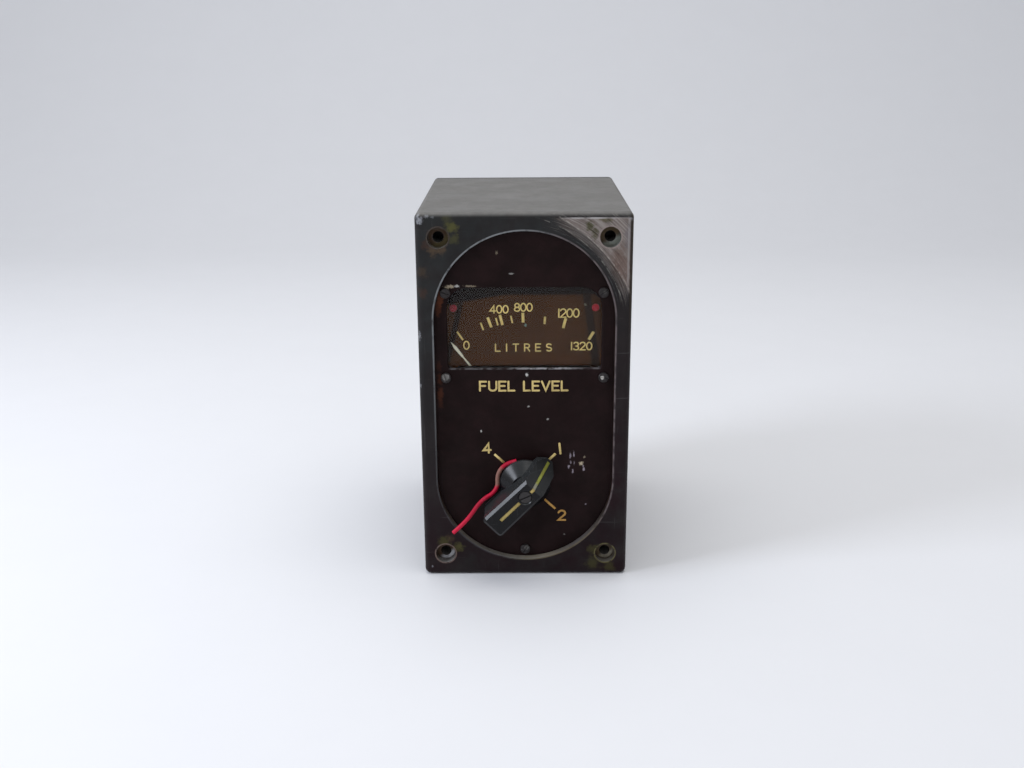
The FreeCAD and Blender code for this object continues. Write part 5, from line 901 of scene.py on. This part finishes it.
# Colour, roughness, grime, dirt, lines, gloss and metallic share
METALS = {
    "blackened_steel": ((0.045, 0.042, 0.042), 0.36, (0.09, 0.06, 0.04), 0.4, 600.0, 0.4, 0.6),
    "zinc_steel": ((0.50, 0.50, 0.48), 0.32, (0.20, 0.17, 0.12)),
    "bright_steel": ((0.60, 0.60, 0.60), 0.2, (0.25, 0.22, 0.20), 0.2),
    "nickel_brass": ((0.52, 0.49, 0.42), 0.3, (0.22, 0.16, 0.08), 0.4),
    "brass": ((0.58, 0.40, 0.15), 0.28, (0.20, 0.11, 0.04), 0.4),
    "copper": ((0.60, 0.26, 0.15), 0.3, (0.20, 0.07, 0.04), 0.4),
    "soft_iron": ((0.20, 0.19, 0.185), 0.42, (0.12, 0.07, 0.045), 0.4),
    "magnet_alloy": ((0.26, 0.26, 0.27), 0.38, (0.13, 0.10, 0.08), 0.3),
    "aluminium": ((0.62, 0.62, 0.63), 0.36, (0.34, 0.33, 0.31), 0.3),
    "contact_silver": ((0.66, 0.64, 0.58), 0.25, (0.16, 0.13, 0.10), 0.45),
    "connector_plate": ((0.40, 0.36, 0.22), 0.34, (0.20, 0.17, 0.08), 0.45),
    "pin_gold": ((0.75, 0.52, 0.20), 0.2, (0.35, 0.22, 0.08), 0.2),
}


BUILT_FINISHES = {}


def finish(name):
    """The named finish, built once."""
    if name not in BUILT_FINISHES:
        label = name.replace("_", " ")
        if name in METALS:
            BUILT_FINISHES[name] = metal(label, *METALS[name])
        elif name in PLASTICS:
            BUILT_FINISHES[name] = plastic(label, *PLASTICS[name])
        else:
            BUILT_FINISHES[name] = FINISH_MAKERS[name](label)
    return BUILT_FINISHES[name]


def dress(group):
    """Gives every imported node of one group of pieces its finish."""
    for part, finish_name in PIECES[group].items():
        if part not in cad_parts:
            raise RuntimeError("the packed model has no piece " + part)
        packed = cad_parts[part]
        packed.data.materials.clear()
        packed.data.materials.append(finish(finish_name))


# Shapes

def settle(name, mesh, body, finish_name):
    """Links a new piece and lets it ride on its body."""
    made = bpy.data.objects.new(name, mesh)
    bpy.context.scene.collection.objects.link(made)
    mesh.materials.append(finish(finish_name))
    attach(made, body)
    return made


def arc(centre_x, centre_z, radius_x, radius_z, start, end):
    """Points along part of an ellipse, from one angle to another in degrees."""
    steps = max(4, int(abs(end - start) / 14))
    turns = [math.radians(start + (end - start) * i / steps) for i in range(steps + 1)]
    return [(centre_x + radius_x * math.cos(a), centre_z + radius_z * math.sin(a)) for a in turns]


# Strokes of the rounded capitals and numbers on a height of 1, with the width of each
GLYPHS = {
    "F": (0.56, [[(0.54, 1), (0, 1), (0, 0)], [(0, 0.53), (0.46, 0.53)]]),
    "U": (0.64, [[(0, 1)] + arc(0.32, 0.32, 0.32, 0.32, 180, 360) + [(0.64, 1)]]),
    "E": (0.56, [[(0.56, 1), (0, 1), (0, 0), (0.56, 0)], [(0, 0.52), (0.47, 0.52)]]),
    "L": (0.52, [[(0, 1), (0, 0), (0.52, 0)]]),
    "V": (0.68, [[(0, 1), (0.34, 0), (0.68, 1)]]),
    "I": (0.12, [[(0.06, 0), (0.06, 1)]]),
    "R": (0.58, [[(0, 0), (0, 1)] + arc(0.30, 0.745, 0.26, 0.255, 90, -90) + [(0, 0.49)],
                 [(0.30, 0.49), (0.58, 0)]]),
    "T": (0.62, [[(0, 1), (0.62, 1)], [(0.31, 1), (0.31, 0)]]),
    "S": (0.56, [arc(0.28, 0.745, 0.28, 0.255, 35, 270) + arc(0.28, 0.25, 0.28, 0.25, 90, -145)[1:]]),
    "0": (0.56, [arc(0.28, 0.5, 0.28, 0.5, 90, 450)]),
    "1": (0.12, [[(0.06, 0), (0.06, 1)]]),
    "2": (0.56, [arc(0.28, 0.72, 0.27, 0.28, 165, -30) + [(0.0, 0), (0.56, 0)]]),
    "3": (0.54, [arc(0.26, 0.75, 0.25, 0.25, 150, -90) + arc(0.26, 0.25, 0.28, 0.25, 90, -150)[1:]]),
    "4": (0.60, [[(0.44, 0), (0.44, 1), (0, 0.28), (0.60, 0.28)]]),
    "8": (0.56, [arc(0.28, 0.75, 0.235, 0.25, 90, 450), arc(0.28, 0.25, 0.28, 0.25, 90, 450)]),
    " ": (0.34, []),
}


def ribbon(shape, path, width, height, sunk, matrix, rounded=True):
    """Adds a low domed stroke along a path in its own plane, closed below the surface."""
    points = [Vector((x, z)) for x, z in path]
    closed = (points[0] - points[-1]).length < 1e-7
    if closed:
        points = points[:-1]
    half = width / 2
    stations = []
    count = len(points)
    for i, point in enumerate(points):
        before = points[i] - points[i - 1] if (i or closed) else None
        after = points[(i + 1) % count] - point if (i < count - 1 or closed) else None
        ways = [w.normalized() for w in (before, after) if w is not None and w.length > 1e-9]
        way = sum(ways, Vector((0, 0))).normalized()
        across = Vector((-way.y, way.x))
        spread = 1.0
        if len(ways) == 2:
            spread = min(1.0 / max(abs(across.dot(Vector((-ways[0].y, ways[0].x)))), 0.4), 2.2)
        stations.append((point, across * half * spread, 1.0))
    if rounded and not closed:
        for end, back in ((0, False), (-1, True)):
            point, across, _ = stations[end]
            out = Vector((across.y, -across.x)) * (1.0 if back else -1.0)
            caps = [(point + out * step, across * side, rise)
                    for step, side, rise in ((0.5, 0.87, 0.95), (0.86, 0.5, 0.75), (0.98, 0.2, 0.45))]
            stations = stations + caps if back else list(reversed(caps)) + stations
    profile = [(-1.0, -sunk), (-1.0, height * 0.35), (-0.62, height * 0.86), (0.0, height),
               (0.62, height * 0.86), (1.0, height * 0.35), (1.0, -sunk)]
    rings = []
    for point, across, rise in stations:
        ring = []
        for share, lift in profile:
            flat = point + across * share
            proud = lift * rise if lift > 0 else lift
            ring.append(shape.verts.new(matrix @ Vector((flat.x, -proud, flat.y))))
        rings.append(ring)
    pairs = list(zip(rings, rings[1:])) + ([(rings[-1], rings[0])] if closed else [])
    for near, far in pairs:
        for i in range(len(profile)):
            j = (i + 1) % len(profile)
            shape.faces.new((near[i], near[j], far[j], far[i]))
    if not closed:
        shape.faces.new(list(reversed(rings[0])))
        shape.faces.new(rings[-1])


def finished_mesh(name, shape):
    """Turns the collected strokes into a mesh with outward normals and smooth shading."""
    bmesh.ops.recalc_face_normals(shape, faces=shape.faces)
    for face in shape.faces:
        face.smooth = True
    mesh = bpy.data.meshes.new(name)
    shape.to_mesh(mesh)
    shape.free()
    return mesh


def write_text(shape, text, left, right, base, height, width, proud, matrix):
    """Writes a word between two sides, its letters spaced evenly over the room."""
    widths = [GLYPHS[c][0] * height for c in text]
    room = (right - left) - width - sum(widths)
    gap = room / max(len(text) - 1, 1)
    at = left + width / 2
    tall = height - width
    for character, wide in zip(text, widths):
        for stroke in GLYPHS[character][1]:
            path = [(at + x * height, base + width / 2 + z * tall) for x, z in stroke]
            ribbon(shape, path, width, proud, SUNK, matrix)
        at += wide + gap


def on_plane(y, turn=0.0, centre=(0.0, 0.0)):
    """The plane of a front surface, turned about a point in it."""
    place = Matrix.Translation(Vector((centre[0], y, centre[1])))
    return place @ Matrix.Rotation(-turn, 4, "Y")


# Settings

class IndicatorCase(bpy.types.PropertyGroup):
    paint: FloatVectorProperty(
        name="Case Paint", description="Black enamel of the bezel and case", subtype="COLOR",
        size=3, min=0.0, max=1.0, default=(0.024, 0.0255, 0.0255))
    # Painted reflection: the darker, redder enamel lower down stands in for less sheen and a red reflection
    painted_low_reflection: FloatVectorProperty(
        name="Painted Low Reflection", description="The enamel lower down, browned by grime", subtype="COLOR",
        size=3, min=0.0, max=1.0, default=(0.0120, 0.0030, 0.0050))
    roughness: FloatProperty(
        name="Paint Roughness", description="Gloss of the case paint", subtype="FACTOR",
        min=0.0, max=1.0, default=0.34)
    edge_wear: FloatProperty(
        name="Edge Wear", description="How far the paint is rubbed off the case's edges",
        subtype="FACTOR", min=0.0, max=1.0, default=0.35)
    # Dust with painted sheen: the amount also stands in for the grey sheen of the top face
    dust: FloatProperty(
        name="Dust", description="Dust on the faces turned up", subtype="FACTOR",
        min=0.0, max=1.0, default=0.54)


class IndicatorFace(bpy.types.PropertyGroup):
    # Painted reflection: the plate's reddish-brown cast stands in for a red reflection
    plate: FloatVectorProperty(
        name="Plate Finish", description="Brown-black finish of the oblong plate", subtype="COLOR",
        size=3, min=0.0, max=1.0, default=(0.0078, 0.0026, 0.0024))
    lettering: FloatVectorProperty(
        name="Lettering", description="Pale filling of the plate's lettering", subtype="COLOR",
        size=3, min=0.0, max=1.0, default=(0.68, 0.52, 0.20))
    stroke: FloatProperty(
        name="Stroke", description="Width of the lettering's strokes", subtype="DISTANCE",
        unit="LENGTH", min=0.0002, max=0.002, default=0.00078)
    proud: FloatProperty(
        name="Proud", description="How far the filling stands above the plate", subtype="DISTANCE",
        unit="LENGTH", min=0.0, max=0.0002, default=0.00003)


class IndicatorDial(bpy.types.PropertyGroup):
    # Painted reflection: the dial's brown stands in for a red reflection in the glass
    dial: FloatVectorProperty(
        name="Dial", description="Matt brown of the dial", subtype="COLOR",
        size=3, min=0.0, max=1.0, default=(0.063, 0.0235, 0.0065))
    lettering: FloatVectorProperty(
        name="Dial Marks", description="Pale yellow of the scale and numbers", subtype="COLOR",
        size=3, min=0.0, max=1.0, default=(0.95, 0.72, 0.25))
    stroke: FloatProperty(
        name="Number Stroke", description="Width of the numbers' strokes", subtype="DISTANCE",
        unit="LENGTH", min=0.0002, max=0.002, default=0.00052)


class IndicatorKnob(bpy.types.PropertyGroup):
    knob: FloatVectorProperty(
        name="Knob", description="Black moulding of the selector knob", subtype="COLOR",
        size=3, min=0.0, max=1.0, default=(0.0030, 0.0028, 0.0034))
    roughness: FloatProperty(
        name="Knob Roughness", description="Gloss of the knob", subtype="FACTOR",
        min=0.0, max=1.0, default=0.16)
    index: FloatVectorProperty(
        name="Index Paint", description="Ochre paint in the knob's grooves", subtype="COLOR",
        size=3, min=0.0, max=1.0, default=(0.50, 0.38, 0.13))
    index_width: FloatProperty(
        name="Index Width", description="Width of the paint in the grooves", subtype="DISTANCE",
        unit="LENGTH", min=0.0005, max=0.003, default=0.00146)


class IndicatorLead(bpy.types.PropertyGroup):
    insulation: FloatVectorProperty(
        name="Insulation", description="Faded red of the loose lead", subtype="COLOR",
        size=3, min=0.0, max=1.0, default=(0.58, 0.005, 0.040))
    diameter: FloatProperty(
        name="Diameter", description="Diameter of the loose lead", subtype="DISTANCE",
        unit="LENGTH", min=0.0005, max=0.004, default=0.0017)


class IndicatorStage(bpy.types.PropertyGroup):
    floor: FloatVectorProperty(
        name="Floor", description="Pale paper of the floor and backdrop", subtype="COLOR",
        size=3, min=0.0, max=1.0, default=(0.80, 0.805, 0.82))
    overhead: FloatProperty(
        name="Overhead Lamp", description="Power of the large soft lamp above", unit="POWER",
        min=0.0, max=100.0, default=5.4)
    window: FloatProperty(
        name="Side Lamp", description="Power of the cool soft lamp at the left", unit="POWER",
        min=0.0, max=100.0, default=5.0)
    lens: FloatProperty(
        name="Focal Length", description="Focal length of the camera on a 36 mm wide sensor, in millimetres",
        min=10.0, max=200.0, default=40.0)


# Operators

class INDICATOR_OT_stage(bpy.types.Operator):
    """Builds the pale floor, the soft lamps and the camera."""
    bl_idname = "indicator.stage"
    bl_label = "Stage"

    def execute(self, context):
        s = context.scene.indicator_stage
        floor_z = CAD_BOX[0][2]
        shape = bmesh.new()
        front, back, half, radius, top, bends = -1.6, 1.3, 2.2, 0.6, 2.2, 16
        line = [(front, floor_z), (-0.6, floor_z), (0.2, floor_z), (back - radius, floor_z)]
        for i in range(1, bends + 1):
            a = math.radians(90.0 * i / bends)
            line.append((back - radius + radius * math.sin(a), floor_z + radius - radius * math.cos(a)))
        line.append((back, top))
        rows = [[shape.verts.new((x, y, z)) for x in (-half, -0.7, 0.7, half)] for y, z in line]
        for low, high in zip(rows, rows[1:]):
            for i in range(3):
                shape.faces.new((low[i], low[i + 1], high[i + 1], high[i]))
        mesh = finished_mesh("stage_sweep", shape)
        sweep = bpy.data.objects.new("stage_sweep", mesh)
        context.scene.collection.objects.link(sweep)
        mesh.materials.append(finish("stage_finish"))

        world = bpy.data.worlds.new("soft_room")
        context.scene.world = world
        world.use_nodes = True
        tree = world.node_tree
        paths = node(tree, "ShaderNodeLightPath")
        seen = maths("MAXIMUM", paths["Is Camera Ray"],
                     maths("MAXIMUM", paths["Is Glossy Ray"], paths["Is Transmission Ray"]))
        background = tree.nodes["Background"]
        feed(tree, background.inputs["Color"], blend(seen, (0.50, 0.51, 0.54), (0.86, 0.87, 0.89)))

        for name, power, size, place, aim, colour in (
            ("overhead_lamp", s.overhead, (1.0, 0.8), (0.05, 0.05, 1.0), (0, 0, 0), (1.0, 0.99, 0.97)),
            ("side_lamp", s.window, (0.31, 0.31), (-0.80, -0.26, 0.47), (0, 0, -0.02), (0.84, 0.89, 1.0)),
        ):
            data = bpy.data.lights.new(name, "AREA")
            data.shape = "RECTANGLE"
            data.size, data.size_y = size
            data.energy = power
            data.color = colour
            lamp = bpy.data.objects.new(name, data)
            lamp.location = place
            lamp.rotation_euler = (Vector(aim) - Vector(place)).to_track_quat("-Z", "Y").to_euler()
            context.scene.collection.objects.link(lamp)

        pitch, yaw, roll = (math.radians(angle) for angle in CAMERA_ANGLES)
        ahead = Vector((math.sin(yaw) * math.cos(pitch), math.cos(yaw) * math.cos(pitch), -math.sin(pitch)))
        right = Vector((math.cos(yaw), -math.sin(yaw), 0.0))
        up = right.cross(ahead)
        right, up = (right * math.cos(roll) + up * math.sin(roll),
                     up * math.cos(roll) - right * math.sin(roll))
        data = bpy.data.cameras.new("camera")
        data.sensor_fit = "HORIZONTAL"
        data.sensor_width = 36.0
        data.lens = s.lens
        data.clip_start = 0.01
        camera = bpy.data.objects.new("camera", data)
        turned = Matrix((right, up, -ahead)).transposed().to_4x4()
        camera.matrix_world = Matrix.Translation(CAMERA_PLACE) @ turned
        context.scene.collection.objects.link(camera)
        context.scene.camera = camera
        context.scene.view_settings.view_transform = "Standard"
        return {"FINISHED"}


class INDICATOR_OT_case(bpy.types.Operator):
    """Finishes the case with its bezel, rear cover, gasket and cover screws."""
    bl_idname = "indicator.case"
    bl_label = "Case and Bezel"

    def execute(self, context):
        dress("case")
        return {"FINISHED"}


class INDICATOR_OT_face(bpy.types.Operator):
    """Finishes the oblong plate and its screws, and fills its lettering and tank marks."""
    bl_idname = "indicator.face"
    bl_label = "Face Plate"

    def execute(self, context):
        s = context.scene.indicator_face
        dress("face")
        shape = bmesh.new()
        flat = on_plane(PLATE_Y)
        for text, left, right, base, height in PLATE_WORDS:
            write_text(shape, text, left * MM, right * MM, base * MM, height * MM, s.stroke, s.proud, flat)
        settle("plate_legend", finished_mesh("plate_legend", shape), "case", "face_lettering")

        pale, amber = bmesh.new(), bmesh.new()
        for text, x, z, height, turn in TANK_WORDS:
            wide = GLYPHS[text][0] * height + s.stroke / MM
            place = on_plane(PLATE_Y, math.radians(turn), (x * MM, z * MM))
            write_text(amber if text == "2" else pale, text, -wide / 2 * MM, wide / 2 * MM, -height / 2 * MM,
                       height * MM, s.stroke * 1.1, s.proud, place)
        for (text, _, _, _, _), (outer_x, outer_z, inner_x, inner_z, width) in zip(TANK_WORDS, TANK_TICKS):
            ends = [(outer_x * MM, outer_z * MM), (inner_x * MM, inner_z * MM)]
            ribbon(amber if text == "2" else pale, ends, width * MM, s.proud, SUNK, flat, False)
        settle("tank_marks_pale", finished_mesh("tank_marks_pale", pale), "case", "face_lettering")
        settle("tank_marks_amber", finished_mesh("tank_marks_amber", amber), "case", "amber_lettering")
        return {"FINISHED"}


class INDICATOR_OT_window(bpy.types.Operator):
    """Finishes the window glass, its seal, clamps and clamp screws."""
    bl_idname = "indicator.window"
    bl_label = "Window"

    def execute(self, context):
        dress("window")
        return {"FINISHED"}


class INDICATOR_OT_dial(bpy.types.Operator):
    """Finishes the dial and pointer, and draws the scale, numbers and unit."""
    bl_idname = "indicator.dial"
    bl_label = "Dial and Pointer"

    def execute(self, context):
        s = context.scene.indicator_dial
        proud = context.scene.indicator_face.proud
        dress("dial")
        flat = on_plane(DIAL_Y)
        shape = bmesh.new()
        for outer_x, outer_z, inner_x, inner_z, width in DIAL_TICKS:
            ends = [(outer_x * MM, outer_z * MM), (inner_x * MM, inner_z * MM)]
            ribbon(shape, ends, width * MM, proud, SUNK, flat, False)
        settle("dial_scale", finished_mesh("dial_scale", shape), "case", "dial_lettering")
        shape = bmesh.new()
        for text, left, right, base, height in DIAL_WORDS:
            write_text(shape, text, left * MM, right * MM, base * MM, height * MM, s.stroke, proud, flat)
        settle("dial_numbers", finished_mesh("dial_numbers", shape), "case", "dial_lettering")
        return {"FINISHED"}


class INDICATOR_OT_movement(bpy.types.Operator):
    """Finishes the moving magnet movement behind the dial."""
    bl_idname = "indicator.movement"
    bl_label = "Movement"

    def execute(self, context):
        dress("movement")
        return {"FINISHED"}


class INDICATOR_OT_chassis(bpy.types.Operator):
    """Finishes the chassis plates, pillars, spacers and screws."""
    bl_idname = "indicator.chassis"
    bl_label = "Chassis"

    def execute(self, context):
        dress("chassis")
        return {"FINISHED"}


class INDICATOR_OT_knob(bpy.types.Operator):
    """Finishes the selector knob and its fittings, and lays the index paint in its grooves."""
    bl_idname = "indicator.knob"
    bl_label = "Selector Knob"

    def execute(self, context):
        s = context.scene.indicator_knob
        dress("knob")
        turned = Matrix.Translation(SELECTOR_AXIS) @ Matrix.Rotation(-KNOB_TURN, 4, "Y")
        groove, fill = 0.0003, 0.00022
        shape = bmesh.new()
        top = turned @ Matrix.Translation((0, KNOB_TOP_Y + groove, 0))
        for start, end in ((-0.01366, -0.00305), (0.00305, 0.0046)):
            ribbon(shape, [(start, 0.0), (end, 0.0)], s.index_width, fill, 0.0, top, False)
        run, drop = KNOB_NOSE - KNOB_BEND, KNOB_BASE_Y - KNOB_TOP_Y
        slope = math.atan2(drop, run)
        down = turned @ Matrix.Translation((KNOB_BEND, KNOB_TOP_Y, 0)) @ Matrix.Rotation(slope, 4, "Z")
        down = down @ Matrix.Translation((0, groove, 0))
        length = math.hypot(run, drop)
        ribbon(shape, [(0.00005, 0.0), (length - 0.00125, 0.0)], s.index_width, fill, 0.0, down, False)
        settle("knob_index", finished_mesh("knob_index", shape), "selector", "index_paint")
        return {"FINISHED"}


class INDICATOR_OT_lead(bpy.types.Operator):
    """Lays the loose red lead that is hooked round the knob."""
    bl_idname = "indicator.lead"
    bl_label = "Red Lead"

    def execute(self, context):
        s = context.scene.indicator_lead
        curve = bpy.data.curves.new("loose_lead", "CURVE")
        curve.dimensions = "3D"
        curve.bevel_depth = s.diameter / 2
        curve.bevel_resolution = 6
        curve.use_fill_caps = True
        line = curve.splines.new("NURBS")
        line.points.add(len(LEAD_ROUTE) - 1)
        for point, place in zip(line.points, LEAD_ROUTE):
            point.co = (*place, 1.0)
        line.order_u = 3
        line.use_endpoint_u = True
        line.resolution_u = 12
        lead = bpy.data.objects.new("loose_lead", curve)
        context.scene.collection.objects.link(lead)
        curve.materials.append(finish("lead_plastic"))
        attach(lead, "selector")
        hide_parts("red_lead")
        return {"FINISHED"}


class INDICATOR_OT_switch(bpy.types.Operator):
    """Finishes the selector switch with its detent, wafers and contacts."""
    bl_idname = "indicator.switch"
    bl_label = "Selector Switch"

    def execute(self, context):
        dress("switch")
        return {"FINISHED"}


class INDICATOR_OT_wiring(bpy.types.Operator):
    """Finishes the component board, its parts and the wiring loom."""
    bl_idname = "indicator.wiring"
    bl_label = "Board and Loom"

    def execute(self, context):
        dress("wiring")
        return {"FINISHED"}


class INDICATOR_OT_connector(bpy.types.Operator):
    """Finishes the rear connector and winds the coupling thread round its shell."""
    bl_idname = "indicator.connector"
    bl_label = "Rear Connector"

    def execute(self, context):
        dress("connector")
        pitch, turns, steps, start, root, crest = 0.0013, 8, 48, 0.1122, 0.0142, 0.0147
        shape = bmesh.new()
        rings = []
        for i in range(turns * steps + 1):
            a = 2 * math.pi * i / steps
            rise = min(i, turns * steps - i, steps // 4) / (steps // 4)
            y = start + pitch * i / steps
            tip = root + (crest - root) * max(rise, 0.2)
            rings.append([shape.verts.new((radius * math.cos(a), y + shift * pitch, radius * math.sin(a)))
                          for radius, shift in ((root, -0.36), (tip, -0.08), (tip, 0.08), (root, 0.36))])
        for near, far in zip(rings, rings[1:]):
            for i in range(4):
                j = (i + 1) % 4
                shape.faces.new((near[i], near[j], far[j], far[i]))
        shape.faces.new(list(reversed(rings[0])))
        shape.faces.new(rings[-1])
        settle("coupling_thread", finished_mesh("coupling_thread", shape), "case", "connector_plate")
        return {"FINISHED"}


OPERATORS = (
    INDICATOR_OT_stage, INDICATOR_OT_lead, INDICATOR_OT_case, INDICATOR_OT_face, INDICATOR_OT_window,
    INDICATOR_OT_dial, INDICATOR_OT_movement, INDICATOR_OT_chassis, INDICATOR_OT_knob,
    INDICATOR_OT_switch, INDICATOR_OT_wiring, INDICATOR_OT_connector,
)
SETTINGS = (
    ("indicator_case", IndicatorCase), ("indicator_face", IndicatorFace), ("indicator_dial", IndicatorDial),
    ("indicator_knob", IndicatorKnob), ("indicator_lead", IndicatorLead), ("indicator_stage", IndicatorStage),
)


class INDICATOR_PT_panel(bpy.types.Panel):
    """Lists the pieces and their settings."""
    bl_idname = "INDICATOR_PT_panel"
    bl_label = "Fuel Quantity Indicator"
    bl_space_type = "VIEW_3D"
    bl_region_type = "UI"
    bl_category = "Indicator"

    def draw(self, context):
        for label, group in SETTINGS:
            box = self.layout.box()
            box.label(text=label.replace("_", " ").title())
            for name in group.__annotations__:
                box.prop(getattr(context.scene, label), name)
        for operator in OPERATORS:
            self.layout.operator(operator.bl_idname)


def register():
    for label, group in SETTINGS:
        bpy.utils.register_class(group)
        setattr(bpy.types.Scene, label, PointerProperty(type=group))
    for operator in OPERATORS:
        bpy.utils.register_class(operator)
    bpy.utils.register_class(INDICATOR_PT_panel)


def unregister():
    bpy.utils.unregister_class(INDICATOR_PT_panel)
    for operator in reversed(OPERATORS):
        bpy.utils.unregister_class(operator)
    for label, group in reversed(SETTINGS):
        delattr(bpy.types.Scene, label)
        bpy.utils.unregister_class(group)


def main():
    register()
    bpy.ops.indicator.stage()
    bpy.ops.indicator.lead()
    bpy.ops.indicator.case()
    bpy.ops.indicator.face()
    bpy.ops.indicator.window()
    bpy.ops.indicator.dial()
    bpy.ops.indicator.movement()
    bpy.ops.indicator.chassis()
    bpy.ops.indicator.knob()
    bpy.ops.indicator.switch()
    bpy.ops.indicator.wiring()
    bpy.ops.indicator.connector()
    bpy.context.view_layer.update()


if __name__ == "__main__":
    main()
